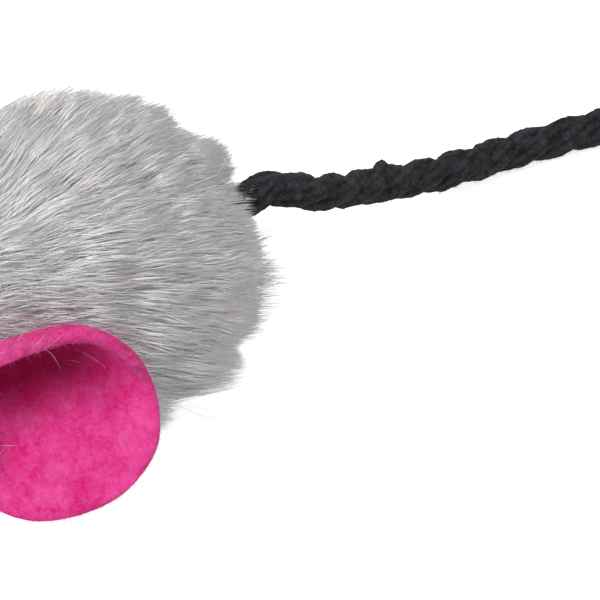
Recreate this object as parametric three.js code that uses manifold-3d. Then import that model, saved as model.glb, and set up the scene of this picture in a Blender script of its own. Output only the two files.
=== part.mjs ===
// A plush catnip mouse: a long-pile skin in three sewn panels round a stuffing that holds a catnip
// pouch, with cupped felt ears, bead eyes, a felt nose and a rope tail.
// Millimetres, +Z up, nose towards -X and tail towards +X. The origin is on the floor, on the flat
// belly patch, under the widest part of the body.
import * as THREE from 'three';
import { mergeVertices } from 'three/addons/utils/BufferGeometryUtils.js';
import Module from 'manifold-3d';

const wasm = await Module();
wasm.setup();

// Clearances
const softGap = 0.3;
const stuffingGap = 0.5;
const cutOverrun = 6;

// Body, measured over the fur
const frontLength = 66.5;
const rearLength = 25.5;
const bodyHalfWidth = 25;
const bodyRise = 21;
const axisHeight = 22;
const noseHeight = 13;
const bellyFlat = 0.5;
const pileDepth = 7;
const noseTaperPower = 0.75;
const noseBellyPower = 4;
const rearSidePower = 0.5;
const rearBackPower = 1.06;
const rearBellyPower = 0.2;

// Seams
const bellySeamAngle = THREE.MathUtils.degToRad(29);
const threadRadius = 0.4;
const threadClearance = 0.75;
const closingOpening = 26;

// Catnip pouch
const pouchLength = 24;
const pouchRadius = 9;
const pouchCloth = 0.8;
const pouchNeckRadius = 3;
const pouchNeckLength = 5;
const pouchCentreX = -20;
const pouchCentreZ = 21;
const pouchTieRadius = 0.6;

// Ears
const feltThickness = 1.8;
const earHalfHeight = 13.8;
const earTipLength = 13.8;
const earBaseLength = 19.4;
const earTrim = 1;
const earSag = 3.6;
const earRollRadius = 5.4;
const earRollRadiusShare = 0.55;
const earRollAngle = THREE.MathUtils.degToRad(145);
const earRollPower = 4;
const earCupRadiusShare = 0.4;
const earCupAngle = THREE.MathUtils.degToRad(70);
const earCupLength = 12;
const earTwistLength = 15;
const earSeamRadius = 1.8;
const earSeamLength = 7;
const earSeatAlong = -0.4964;
const earSeatAngle = THREE.MathUtils.degToRad(144.1);
const earLengthwiseShares = new THREE.Vector3(0.8949, -0.4462, 0);
const earFacingShares = new THREE.Vector3(-0.2495, -0.5004, 0.829);
const rightEarLift = THREE.MathUtils.degToRad(26);
const earThreadRadius = 0.45;
const earProud = feltThickness / 2 + 2 * softGap;

// Eyes and nose
const eyeRadius = 3.2;
const eyeDome = 2.8;
const eyeSink = 1.4;
const eyeShankRadius = 1.1;
const eyeAlong = -0.74;
const eyeAngle = THREE.MathUtils.degToRad(156);
const washerRadius = 3.2;
const washerThickness = 1;
const washerInset = 8.1;
const shankTail = 0.8;
const noseRadius = 4.2;
const noseDepth = 3.2;

// Tail rope
const ropeRadius = 2.5;
const tailExitHeight = 20.8;
const innerKnotRadius = 4.6;
const endKnotRadius = 4.8;
const endKnotLength = 11;
const tailRoute = [
  [31.6, -1.5, 20.2],
  [36.2, -1.6, 16.9],
  [41.1, -0.8, 13.6],
  [46.1, 0.0, 10.5],
  [50.9, 0.6, 7.9],
  [56.7, 1.0, 5.5],
  [62.9, 1.3, 3.9],
  [69.5, 1.2, 2.9],
  [76.2, 0.6, 2.6],
  [82.7, -0.4, 2.6],
  [89.6, -1.7, 2.6],
  [96.5, -3.2, 2.6],
  [103.4, -4.6, 2.6],
  [110.3, -5.6, 2.7],
  [117.0, -6.0, 3.2],
  [123.0, -5.8, 4.0],
];

// Forms are made at unit size and then brought to their own.
const unit = 1;

// Facet counts
const bodySides = 32;
const bodySteps = 22;
const earSteps = 13;
const roundSides = 12;
const threadSides = 5;
const capSteps = 2;
const domeSteps = 4;
const ropeSides = 8;

const group = new THREE.Group();

const skinGrey = { color: 0xb6b5b8, roughness: 0.95, metalness: 0 };
const feltPink = { color: 0xde4a90, roughness: 0.95, metalness: 0 };
const ropeBlack = { color: 0x2c2d30, roughness: 0.9, metalness: 0 };
const threadGrey = { color: 0x9a999c, roughness: 0.8, metalness: 0 };
const threadPink = { color: 0xb83a70, roughness: 0.8, metalness: 0 };
const fibreWhite = { color: 0xeeeeea, roughness: 1, metalness: 0 };
const clothWhite = { color: 0xe6e0d2, roughness: 0.95, metalness: 0 };
const catnipGreen = { color: 0x6f7a45, roughness: 1, metalness: 0 };
const beadBlack = { color: 0x0c0c0d, roughness: 0.12, metalness: 0 };
const plasticWhite = { color: 0xdcdcd8, roughness: 0.5, metalness: 0 };

// A closed geometry as a solid that can be cut and joined, with its faces pointing out.
function solidOf(geometry) {
  const bare = geometry.clone();
  bare.deleteAttribute('normal');
  bare.deleteAttribute('uv');
  const merged = mergeVertices(bare);
  const points = merged.attributes.position;
  const corners = Array.from(merged.index.array);
  const kept = [];
  const a = new THREE.Vector3();
  const b = new THREE.Vector3();
  const c = new THREE.Vector3();
  let volume = 0;
  for (let i = 0; i < corners.length; i += 3) {
    const [p, q, r] = corners.slice(i, i + 3);
    if (p !== q && q !== r && r !== p) {
      a.fromBufferAttribute(points, p);
      b.fromBufferAttribute(points, q);
      c.fromBufferAttribute(points, r);
      volume += a.dot(b.cross(c));
      kept.push(p, q, r);
    }
  }
  if (volume < 0) {
    kept.reverse();
  }
  return new wasm.Manifold(new wasm.Mesh({
    numProp: 3,
    vertProperties: Float32Array.from(points.array),
    triVerts: Uint32Array.from(kept),
  }));
}

function addPiece(name, solid, finish, seat = new THREE.Matrix4()) {
  const mesh = solid.getMesh();
  const geometry = new THREE.BufferGeometry();
  geometry.setAttribute('position', new THREE.BufferAttribute(mesh.vertProperties, 3));
  geometry.setIndex(new THREE.BufferAttribute(mesh.triVerts, 1));
  geometry.computeVertexNormals();
  const piece = new THREE.Mesh(geometry, new THREE.MeshStandardMaterial(finish));
  piece.name = name;
  piece.applyMatrix4(seat);
  group.add(piece);
}

function seated(solid, seat) {
  return solid.transform(seat.elements);
}

function tube(points, radius, sides, steps) {
  const section = new THREE.Shape();
  for (let i = 0; i < sides; i += 1) {
    const angle = (i / sides) * 2 * Math.PI;
    const x = radius * Math.cos(angle);
    const y = radius * Math.sin(angle);
    if (i === 0) {
      section.moveTo(x, y);
    } else {
      section.lineTo(x, y);
    }
  }
  const path = new THREE.CatmullRomCurve3(points);
  return new THREE.ExtrudeGeometry(section, { steps, extrudePath: path, bevelEnabled: false });
}

function lathe(profile, sides) {
  return new THREE.LatheGeometry(profile.map(([r, h]) => new THREE.Vector2(r, h)), sides);
}

// A seat whose local +Y runs along a direction.
function seatAlong(position, direction) {
  const up = new THREE.Vector3(0, 1, 0);
  const turn = new THREE.Quaternion().setFromUnitVectors(up, direction.clone().normalize());
  return new THREE.Matrix4().compose(position, turn, new THREE.Vector3(1, 1, 1));
}

// The body's form. It swells from the nose to its widest part. Its back slopes down to the tail,
// while its rear is blunt below the tail, and its belly is low from end to end, so that it lies on
// a flat patch.
function axisAt(x) {
  const nose = Math.min(x / frontLength, 0);
  return axisHeight - (axisHeight - noseHeight) * nose ** 2;
}

function bodyForm(inset) {
  return {
    front: frontLength - inset,
    rear: rearLength - inset,
    halfWidth: bodyHalfWidth - inset,
    rise: bodyRise - inset,
    sink: bellyFlat - inset,
  };
}

function stationOf(form, along) {
  const x = along * (along < 0 ? form.front : form.rear);
  const closing = Math.max(1 - along ** 2, 0);
  const noseBelly = Math.sqrt(Math.max(1 - along ** noseBellyPower, 0));
  return {
    x,
    axis: axisAt(x),
    halfWidth: form.halfWidth * closing ** (along < 0 ? noseTaperPower : rearSidePower),
    rise: form.rise * closing ** (along < 0 ? noseTaperPower : rearBackPower),
    drop: (axisAt(x) + form.sink) * (along < 0 ? noseBelly : closing ** rearBellyPower),
  };
}

// A point of the form: along runs from -1 at the nose to 1 at the rear, and the angle from the
// right side over the back to the left side.
function bodyPoint(form, along, angle) {
  const station = stationOf(form, along);
  const high = Math.sin(angle) > 0 ? station.rise : station.drop;
  return new THREE.Vector3(
    station.x,
    station.halfWidth * Math.cos(angle),
    station.axis + high * Math.sin(angle),
  );
}

function bodyNormal(along, angle) {
  const form = bodyForm(0);
  const step = 0.01;
  const here = bodyPoint(form, along, angle);
  const further = bodyPoint(form, along + step, angle).sub(here);
  const round = bodyPoint(form, along, angle + step).sub(here);
  return round.cross(further).normalize();
}

function bodySolid(inset) {
  const form = bodyForm(inset);
  const geometry = new THREE.SphereGeometry(unit, bodySides, bodySteps);
  const points = geometry.attributes.position;
  const place = new THREE.Vector3();
  for (let i = 0; i < points.count; i += 1) {
    place.fromBufferAttribute(points, i);
    const point = bodyPoint(form, place.y, Math.atan2(place.z, -place.x));
    points.setXYZ(i, point.x, point.y, point.z);
  }
  return solidOf(geometry);
}

// The seam planes meet on a line from the tip of the nose to the middle of the rear.
const seamSlope = (axisHeight - noseHeight) / (frontLength + rearLength);

function seamHeight(x) {
  return noseHeight + seamSlope * (x + frontLength);
}

// The part of space that one panel lies in, from an outline across the body.
function panelSpace(outline) {
  const length = frontLength + rearLength + 2 * cutOverrun;
  const start = -frontLength - cutOverrun;
  const shape = new THREE.Shape(outline.map(([y, z]) => new THREE.Vector2(y, z)));
  const geometry = new THREE.ExtrudeGeometry(shape, { depth: length, bevelEnabled: false });
  const toBody = new THREE.Matrix4().set(
    0, 0, 1, start,
    1, 0, 0, 0,
    0, 1, seamSlope, seamHeight(start),
    0, 0, 0, 1,
  );
  geometry.applyMatrix4(toBody);
  return solidOf(geometry);
}

const reach = bodyHalfWidth + cutOverrun;
const seamLift = softGap / 2 / Math.cos(bellySeamAngle);
const seamFall = Math.tan(bellySeamAngle);

function sideSpace(side) {
  const inner = side * softGap / 2;
  const outer = side * reach;
  return panelSpace([
    [inner, seamLift - seamFall * softGap / 2],
    [outer, seamLift - seamFall * reach],
    [outer, reach],
    [inner, reach],
  ]);
}

const bellySpace = panelSpace([
  [0, -seamLift],
  [-reach, -seamLift - seamFall * reach],
  [-reach, -seamLift - seamFall * reach - reach],
  [reach, -seamLift - seamFall * reach - reach],
  [reach, -seamLift - seamFall * reach],
]);

// Where the belly seam runs on a form, on one side of the body.
function seamPoint(form, along, side) {
  const station = stationOf(form, along);
  const across = station.halfWidth * seamFall;
  const size = Math.hypot(station.drop, across);
  const depth = station.axis - seamHeight(station.x);
  const fall = Math.asin(Math.min(depth / size, 1)) + Math.atan2(across, station.drop);
  return bodyPoint(form, along, side > 0 ? -fall : Math.PI + fall);
}

// Skin: three panels of long-pile plush, cut flat on the floor.
const bodyOuter = bodySolid(0);
const bodyInner = bodySolid(pileDepth);
const floorSize = 4 * (frontLength + bodyHalfWidth);
const belowFloor = solidOf(
  new THREE.BoxGeometry(floorSize, floorSize, floorSize).translate(0, 0, -floorSize / 2),
);
const skin = bodyOuter.subtract(bodyInner).subtract(belowFloor);

// Ear: one round piece of felt, drawn together at its base, where it is sewn down. Its upper rim
// rolls over nearly all the way to the tip, and its lower rim turns up near the base.
// The section across the ear, at a length from its base, is a lower bend, a flat and an upper roll.
const earLength = earBaseLength - earTrim + earTipLength;

function earSection(lengthwise, half, share) {
  const unrolled = (lengthwise / earLength) ** earRollPower;
  const roll = earRollAngle * Math.sqrt(Math.max(1 - unrolled, 0));
  const cup = earCupAngle * (1 - THREE.MathUtils.smoothstep(lengthwise, 0, earCupLength));
  const rollRadius = Math.min(earRollRadius, earRollRadiusShare * half);
  const cupRadius = earCupRadiusShare * half;
  const rollFrom = half - rollRadius * Math.sin(Math.min(roll, Math.PI / 2));
  const cupFrom = -half + cupRadius * Math.sin(cup);
  const length = rollFrom - cupFrom + roll * rollRadius + cup * cupRadius;
  const along = ((share + 1) / 2) * length - cup * cupRadius;
  if (along < 0) {
    const angle = -along / cupRadius;
    return {
      v: cupFrom - cupRadius * Math.sin(angle),
      n: cupRadius * (1 - Math.cos(angle)),
      angle: -angle,
    };
  }
  if (along > rollFrom - cupFrom) {
    const angle = (along - rollFrom + cupFrom) / rollRadius;
    return {
      v: rollFrom + rollRadius * Math.sin(angle),
      n: rollRadius * (1 - Math.cos(angle)),
      angle,
    };
  }
  return { v: cupFrom + along, n: 0, angle: 0 };
}

function earFrame() {
  const outward = bodyNormal(earSeatAlong, earSeatAngle);
  const facing = earFacingShares.clone().normalize();
  const upward = facing.clone().cross(earLengthwiseShares).normalize();
  const lengthwise = upward.clone().cross(facing);
  const seam = outward.clone().cross(lengthwise);
  const twist = Math.atan2(seam.dot(facing), seam.dot(upward));
  return { lengthwise, upward, facing, outward, seam, twist };
}

// The felt turns from the lie of the skin at its base to its own plane.
const earBaseTwist = earFrame().twist;

function earPoint(shareLong, shareHigh, offset) {
  const p = shareLong * Math.sqrt(1 - shareHigh ** 2 / 2);
  const q = shareHigh * Math.sqrt(1 - shareLong ** 2 / 2);
  const chord = Math.sqrt(Math.max(1 - p ** 2, 0));
  const lengthwise = earBaseLength - earTrim + (p < 0 ? earBaseLength : earTipLength) * p;
  const section = earSection(lengthwise, earHalfHeight * chord, chord > 0 ? q / chord : 0);
  const free = THREE.MathUtils.smoothstep(lengthwise, 0, earTwistLength);
  const v = section.v - earSag * free - offset * Math.sin(section.angle);
  const n = section.n + offset * Math.cos(section.angle);
  const twist = earBaseTwist * (1 - free);
  return new THREE.Vector3(
    lengthwise,
    v * Math.cos(twist) - n * Math.sin(twist),
    v * Math.sin(twist) + n * Math.cos(twist),
  );
}

function earSeamSolid(radius) {
  const seam = new THREE.CapsuleGeometry(radius, earSeamLength, capSteps, roundSides);
  seam.rotateX(earBaseTwist);
  return solidOf(seam);
}

// The left ear has side -1, and the right ear, its mirror image, side 1.
function earSolid(side) {
  const span = 2 * unit;
  const geometry = new THREE.BoxGeometry(span, span, feltThickness, earSteps, earSteps);
  const points = geometry.attributes.position;
  for (let i = 0; i < points.count; i += 1) {
    const point = earPoint(points.getX(i), points.getY(i), points.getZ(i));
    points.setXYZ(i, point.x, -side * point.y, point.z);
  }
  const past = earBaseLength + earTipLength + cutOverrun;
  const trim = solidOf(new THREE.BoxGeometry(past, 2 * past, 2 * past).translate(past / 2, 0, 0));
  const seam = earSeamSolid(earSeamRadius);
  return solidOf(geometry).intersect(trim).add(side < 0 ? seam : mirrored(seam));
}

function mirrored(solid) {
  const flip = new THREE.Matrix4().makeScale(1, -1, 1);
  return solid.transform(flip.elements);
}

function earSeat(side) {
  const angle = side < 0 ? earSeatAngle : Math.PI - earSeatAngle;
  const outward = bodyNormal(earSeatAlong, angle);
  const position = bodyPoint(bodyForm(0), earSeatAlong, angle);
  position.addScaledVector(outward, earProud);
  const { lengthwise, upward, facing } = earFrame();
  if (side > 0) {
    facing.y = -facing.y;
    lengthwise.y = -lengthwise.y;
    upward.y = -upward.y;
    upward.negate();
  }
  const seat = new THREE.Matrix4().makeBasis(lengthwise, upward, facing).setPosition(position);
  const lift = new THREE.Matrix4().makeRotationAxis(
    new THREE.Vector3(0, Math.cos(earBaseTwist), -side * Math.sin(earBaseTwist)),
    side > 0 ? -rightEarLift : 0,
  );
  return seat.multiply(lift);
}

// The thread that holds an ear lies under its base, along the seam.
function earThreadSolid(radius) {
  return solidOf(new THREE.CapsuleGeometry(radius, earSeamLength, capSteps, threadSides));
}

function earThreadSeat(side) {
  const { outward, seam } = earFrame();
  const depth = earProud - earSeamRadius - softGap - earThreadRadius;
  const position = bodyPoint(bodyForm(0), earSeatAlong, earSeatAngle)
    .addScaledVector(outward, depth);
  position.y = -side * position.y;
  seam.y = -side * seam.y;
  return seatAlong(position, seam);
}

// Eye: a black bead on a shank, which a washer holds inside the skin.
function eyeSolid(clearance) {
  const radius = eyeRadius + clearance;
  const dome = eyeDome + clearance;
  const shank = eyeShankRadius + clearance;
  const shankEnd = eyeSink - washerInset - washerThickness - shankTail - clearance;
  const profile = [[0, shankEnd], [shank, shankEnd], [shank, -clearance]];
  for (let i = 0; i <= domeSteps; i += 1) {
    const angle = (i / domeSteps) * (Math.PI / 2);
    profile.push([radius * Math.cos(angle), (dome + clearance) * Math.sin(angle) - clearance]);
  }
  return solidOf(lathe(profile, roundSides));
}

function washerSolid(clearance) {
  const inner = eyeShankRadius + softGap;
  const outer = washerRadius + clearance;
  const low = eyeSink - washerInset - washerThickness - clearance;
  const high = eyeSink - washerInset + clearance;
  if (clearance > 0) {
    return solidOf(lathe([[0, low], [outer, low], [outer, high], [0, high]], roundSides));
  }
  const ring = [[inner, low], [outer, low], [outer, high], [inner, high], [inner, low]];
  return solidOf(lathe(ring, roundSides));
}

function eyeSeat(side) {
  const angle = side < 0 ? eyeAngle : Math.PI - eyeAngle;
  const outward = bodyNormal(eyeAlong, angle);
  const position = bodyPoint(bodyForm(0), eyeAlong, angle).addScaledVector(outward, -eyeSink);
  return seatAlong(position, outward);
}

// Tail rope: the stretch in the skin with the knot inside it, and the free tail on its pivot.
const innerKnotX = rearLength - pileDepth - softGap - innerKnotRadius;
const tailPivot = new THREE.Vector3(rearLength + softGap + ropeRadius, 0, tailExitHeight);

function knottedRoot(clearance) {
  const knot = innerKnotRadius + clearance;
  const rope = ropeRadius + clearance;
  const neck = Math.sqrt(knot ** 2 - rope ** 2);
  const profile = [[0, innerKnotX - knot]];
  const turns = roundSides / 2;
  const last = Math.acos(neck / knot);
  for (let i = 1; i <= turns; i += 1) {
    const angle = Math.PI - (i / turns) * (Math.PI - last);
    profile.push([knot * Math.sin(angle), innerKnotX + knot * Math.cos(angle)]);
  }
  const end = rearLength + (clearance > 0 ? cutOverrun : 0);
  profile.push([rope, end], [0, end]);
  return solidOf(lathe(profile, roundSides).rotateZ(-Math.PI / 2).translate(0, 0, tailExitHeight));
}

const rootPocket = knottedRoot(softGap);
const eyePockets = [-1, 1].map((side) => seated(eyeSolid(softGap), eyeSeat(side)));
const washerPockets = [-1, 1].map((side) => seated(washerSolid(softGap), eyeSeat(side)));

function earSeatCut(side) {
  const room = earSeamSolid(earSeamRadius + softGap);
  const threadRoom = earThreadSolid(earThreadRadius + softGap);
  const seam = seated(side < 0 ? room : mirrored(room), earSeat(side));
  return seam.add(seated(threadRoom, earThreadSeat(side)));
}

function addSidePanel(name, side) {
  const eye = eyePockets[side < 0 ? 0 : 1];
  const panel = skin.intersect(sideSpace(side)).subtract(rootPocket).subtract(eye);
  addPiece(name, panel.subtract(earSeatCut(side)), skinGrey);
}

addSidePanel('left_side_panel', -1);
addSidePanel('right_side_panel', 1);
addPiece('belly_panel', skin.intersect(bellySpace).subtract(rootPocket), skinGrey);

// Seam threads lie just inside the skin, along the panels' edges.
const threadForm = bodyForm(pileDepth + threadClearance + threadRadius);

function alongRange(from, to, count) {
  return Array.from({ length: count }, (_, i) => from + ((to - from) * i) / (count - 1));
}

function seamPoints(from, to, count, side) {
  return alongRange(from, to, count).map((along) => seamPoint(threadForm, along, side));
}

const seamEndShare = 0.9;
const seamCrossShare = 0.965;
const dorsalEndShare = 0.72;
const seamPointCount = 15;
const halfSeamPointCount = 8;
const dorsalPoints = alongRange(-seamEndShare, dorsalEndShare, seamPointCount)
  .map((along) => bodyPoint(threadForm, along, Math.PI / 2));

// The belly seam is one thread from the rear end of the closing opening, round the tail, along the
// right side, round the nose and back to the opening's front end.
const openingShare = closingOpening / 2 / threadForm.front;
const closingMiddleShare = -0.2;
const openingFront = closingMiddleShare - openingShare;
const openingRear = closingMiddleShare + openingShare;
const threadEndShare = 0.02;
const bellySeamPoints = [
  ...seamPoints(openingRear, seamEndShare, halfSeamPointCount, -1),
  bodyPoint(threadForm, seamCrossShare, -Math.PI / 2),
  ...seamPoints(seamEndShare, -seamEndShare, seamPointCount, 1),
  bodyPoint(threadForm, -seamCrossShare, -Math.PI / 2),
  ...seamPoints(-seamEndShare, openingFront, halfSeamPointCount, -1),
];
const closingFront = openingFront + threadEndShare;
const closingRear = openingRear - threadEndShare;
const closingPoints = seamPoints(closingFront, closingRear, halfSeamPointCount, -1);

function addThread(name, points, steps) {
  addPiece(name, solidOf(tube(points, threadRadius, threadSides, steps)), threadGrey);
}

function threadGroove(points, steps) {
  const end = new THREE.SphereGeometry(threadRadius + 2 * softGap, threadSides, threadSides - 1);
  const first = points[0];
  const last = points[points.length - 1];
  return solidOf(tube(points, threadRadius + 2 * softGap, threadSides, steps))
    .add(solidOf(end.clone().translate(first.x, first.y, first.z)))
    .add(solidOf(end.clone().translate(last.x, last.y, last.z)));
}

const dorsalSteps = 18;
const bellySteps = 44;
const closingSteps = 7;
addThread('dorsal_seam_thread', dorsalPoints, dorsalSteps);
addThread('belly_seam_thread', bellySeamPoints, bellySteps);
addThread('closing_stitch', closingPoints, closingSteps);

// Catnip pouch: a cloth bag with a tied neck, open at its mouth, filled with dried catnip.
function pouchProfile(grow) {
  const half = pouchLength / 2;
  const turns = roundSides / 2;
  const neck = pouchNeckRadius + grow;
  const last = Math.asin(neck / (pouchRadius + grow));
  const profile = [];
  for (let i = 0; i <= turns; i += 1) {
    const angle = Math.PI - (i / turns) * (Math.PI - last);
    profile.push([(pouchRadius + grow) * Math.sin(angle), (half + grow) * Math.cos(angle)]);
  }
  return profile;
}

const pouchEnd = pouchLength / 2 + pouchNeckLength;
const pouchSeat = seatAlong(
  new THREE.Vector3(pouchCentreX, 0, pouchCentreZ),
  new THREE.Vector3(1, 0, 0),
);
const pouchWall = [
  ...pouchProfile(0),
  [pouchNeckRadius, pouchEnd],
  [pouchNeckRadius - pouchCloth, pouchEnd],
  ...pouchProfile(-pouchCloth).reverse(),
];
const tieHeight = pouchLength / 2 + pouchNeckLength / 2;
const tieOutside = pouchNeckRadius + softGap + 2 * pouchTieRadius + softGap;
const pouchRoom = [
  ...pouchProfile(softGap),
  [tieOutside, pouchLength / 2],
  [tieOutside, pouchEnd + softGap],
  [0, pouchEnd + softGap],
];
const fillTurns = roundSides / 2;
const fillInset = pouchCloth + 2 * softGap;
const fillProfile = Array.from({ length: fillTurns + 1 }, (_, i) => {
  const angle = Math.PI * (1 - i / fillTurns);
  return [
    (pouchRadius - fillInset) * Math.sin(angle),
    (pouchLength / 2 - fillInset) * Math.cos(angle),
  ];
});
addPiece('catnip_pouch', solidOf(lathe(pouchWall, roundSides)), clothWhite, pouchSeat);
addPiece('catnip_fill', solidOf(lathe(fillProfile, roundSides)), catnipGreen, pouchSeat);
const tieRing = new THREE.TorusGeometry(
  pouchNeckRadius + softGap + pouchTieRadius,
  pouchTieRadius,
  threadSides,
  roundSides,
);
tieRing.rotateX(Math.PI / 2).translate(0, tieHeight, 0);
addPiece('pouch_tie', solidOf(tieRing), threadGrey, pouchSeat);

// Stuffing: fills the skin, with room for the pouch, the knot, the washers and the seam threads,
// and the slit at the belly through which the pouch was pushed in.
const slitRadius = 3;
const pouchSlit = new THREE.CylinderGeometry(slitRadius, slitRadius, axisHeight, threadSides * 2);
pouchSlit.rotateX(Math.PI / 2).translate(pouchCentreX, 0, pouchCentreZ - axisHeight / 2);
const stuffing = bodySolid(pileDepth + stuffingGap)
  .subtract(seated(solidOf(lathe(pouchRoom, roundSides)), pouchSeat))
  .subtract(solidOf(pouchSlit))
  .subtract(rootPocket)
  .subtract(eyePockets[0])
  .subtract(eyePockets[1])
  .subtract(washerPockets[0])
  .subtract(washerPockets[1])
  .subtract(threadGroove(dorsalPoints, dorsalSteps))
  .subtract(threadGroove(bellySeamPoints, bellySteps))
  .subtract(threadGroove(closingPoints, closingSteps));
addPiece('stuffing', stuffing, fibreWhite);

// Ears, and the thread along each base, under the gathered felt.
function addEar(side, name) {
  addPiece(name, earSolid(side), feltPink, earSeat(side));
}

addEar(-1, 'left_ear');
addEar(1, 'right_ear');
const earThread = earThreadSolid(earThreadRadius);
addPiece('left_ear_stitch', earThread, threadPink, earThreadSeat(-1));
addPiece('right_ear_stitch', earThread, threadPink, earThreadSeat(1));

addPiece('left_eye', eyeSolid(0), beadBlack, eyeSeat(-1));
addPiece('right_eye', eyeSolid(0), beadBlack, eyeSeat(1));
addPiece('left_eye_washer', washerSolid(0), plasticWhite, eyeSeat(-1));
addPiece('right_eye_washer', washerSolid(0), plasticWhite, eyeSeat(1));

// Nose: a felt button over the tip of the snout.
const noseBall = new THREE.SphereGeometry(unit, roundSides, roundSides / 2);
noseBall.scale(noseDepth, noseRadius, noseRadius);
noseBall.translate(-frontLength + softGap, 0, noseHeight);
addPiece('nose', solidOf(noseBall).subtract(bodySolid(-2 * softGap)), feltPink);

// Tail
addPiece('tail_root', knottedRoot(0), ropeBlack);
const tailPoints = [tailPivot, ...tailRoute.map(([x, y, z]) => new THREE.Vector3(x, y, z))];
const tailSteps = 20;
const tailHead = new THREE.SphereGeometry(ropeRadius, ropeSides, ropeSides / 2);
tailHead.translate(tailPivot.x, tailPivot.y, tailPivot.z);
const tailTube = solidOf(tube(tailPoints, ropeRadius, ropeSides, tailSteps));
addPiece('tail', tailTube.add(solidOf(tailHead)), ropeBlack);

const tailEnd = tailPoints[tailPoints.length - 1];
const tailEndDirection = tailEnd.clone().sub(tailPoints[tailPoints.length - 2]).normalize();
const endKnot = new THREE.SphereGeometry(unit, roundSides, roundSides / 2);
endKnot.scale(endKnotRadius, endKnotLength / 2, endKnotRadius);
const knotCentre = tailEnd.clone().addScaledVector(tailEndDirection, softGap + endKnotLength / 2);
addPiece('tail_end_knot', solidOf(endKnot), ropeBlack, seatAlong(knotCentre, tailEndDirection));

export default group;
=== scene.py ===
import math

import bmesh
import bpy
import numpy as np
from mathutils import Matrix, Vector
from mathutils import noise as field
from mathutils.bvhtree import BVHTree
from mathutils.kdtree import KDTree


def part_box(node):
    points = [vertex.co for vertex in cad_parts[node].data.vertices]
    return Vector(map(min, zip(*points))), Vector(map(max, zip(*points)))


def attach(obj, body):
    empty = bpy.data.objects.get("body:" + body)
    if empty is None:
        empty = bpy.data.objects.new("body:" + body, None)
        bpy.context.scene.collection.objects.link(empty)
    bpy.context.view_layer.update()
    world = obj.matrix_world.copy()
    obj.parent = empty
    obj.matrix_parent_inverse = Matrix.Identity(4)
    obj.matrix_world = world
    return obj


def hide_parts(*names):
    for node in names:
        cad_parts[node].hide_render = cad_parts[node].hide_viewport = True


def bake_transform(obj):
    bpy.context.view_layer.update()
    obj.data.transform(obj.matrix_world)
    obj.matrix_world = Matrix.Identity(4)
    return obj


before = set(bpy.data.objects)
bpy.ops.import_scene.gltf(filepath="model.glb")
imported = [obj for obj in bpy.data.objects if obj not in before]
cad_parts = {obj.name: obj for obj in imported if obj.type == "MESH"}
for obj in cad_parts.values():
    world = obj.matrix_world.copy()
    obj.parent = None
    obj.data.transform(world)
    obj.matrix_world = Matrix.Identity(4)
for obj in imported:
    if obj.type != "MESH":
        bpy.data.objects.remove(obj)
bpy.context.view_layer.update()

mm = 0.001

# Camera: the photo looks down on the left rear of the mouse from about 56 degrees. It is a long
# lens, so the near ear is only a few percent larger than the tail.
view_from = Vector((-0.2495, -0.5004, 0.8290)).normalized()
view_right = Vector((0.8949, -0.4462, 0.0)).normalized()
view_up = view_from.cross(view_right)
aim = Vector((25.75, -14.76, 13.17)) * mm
camera_distance = 1.0
frame_width = 86.96 * mm
camera_data = bpy.data.cameras.new("photo_camera")
camera_data.sensor_width = 36
camera_data.lens = camera_data.sensor_width * camera_distance / frame_width
camera_data.clip_start = 0.01
camera = bpy.data.objects.new("photo_camera", camera_data)
bpy.context.scene.collection.objects.link(camera)
turn = Matrix((view_right, view_up, view_from)).transposed().to_4x4()
camera.matrix_world = Matrix.Translation(aim + view_from * camera_distance) @ turn
bpy.context.scene.camera = camera

# Tail: a soft black rope of three strands, laid to the right. The yarns of each strand turn
# the other way, so they run nearly straight along the rope. It is sewn in at the rear seam and
# lies on the floor from about a third of its length.
tail_route = np.array([
    (28.3, 0.0, 20.8), (31.6, -1.5, 20.2), (36.2, -1.6, 16.9), (41.1, -0.8, 13.6),
    (46.1, 0.0, 10.5), (50.9, 0.6, 7.9), (56.7, 1.0, 5.5), (62.9, 1.3, 3.9),
    (69.5, 1.2, 2.9), (76.2, 0.6, 2.6), (82.7, -0.4, 2.6), (89.6, -1.7, 2.6),
    (96.5, -3.2, 2.6), (103.4, -4.6, 2.6), (110.3, -5.6, 2.7), (117.0, -6.0, 3.2),
    (123.0, -5.8, 4.0),
]) * mm
tail_exit = np.array((25.5, 0.0, 20.8)) * mm
tail_start = np.array((16.0, 0.0, 20.8)) * mm
tail_finish = np.array((127.2, -5.7, 4.7)) * mm
rope_pitch = 18.6 * mm
strand_count = 3
strand_radius = 1.74 * mm
strand_offset = 0.98 * mm
yarn_count = 7
yarn_ripple = 0.13 * mm
yarn_lump = 0.22 * mm
yarn_turns = 0.75
rope_step = 0.36 * mm
lump_size = 1.5 * mm
small_lump_size = 0.55 * mm
slub = Vector((47.1, 1.9, 11.9)) * mm
slub_reach = 2.1 * mm
slub_rise = 1.1 * mm


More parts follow.
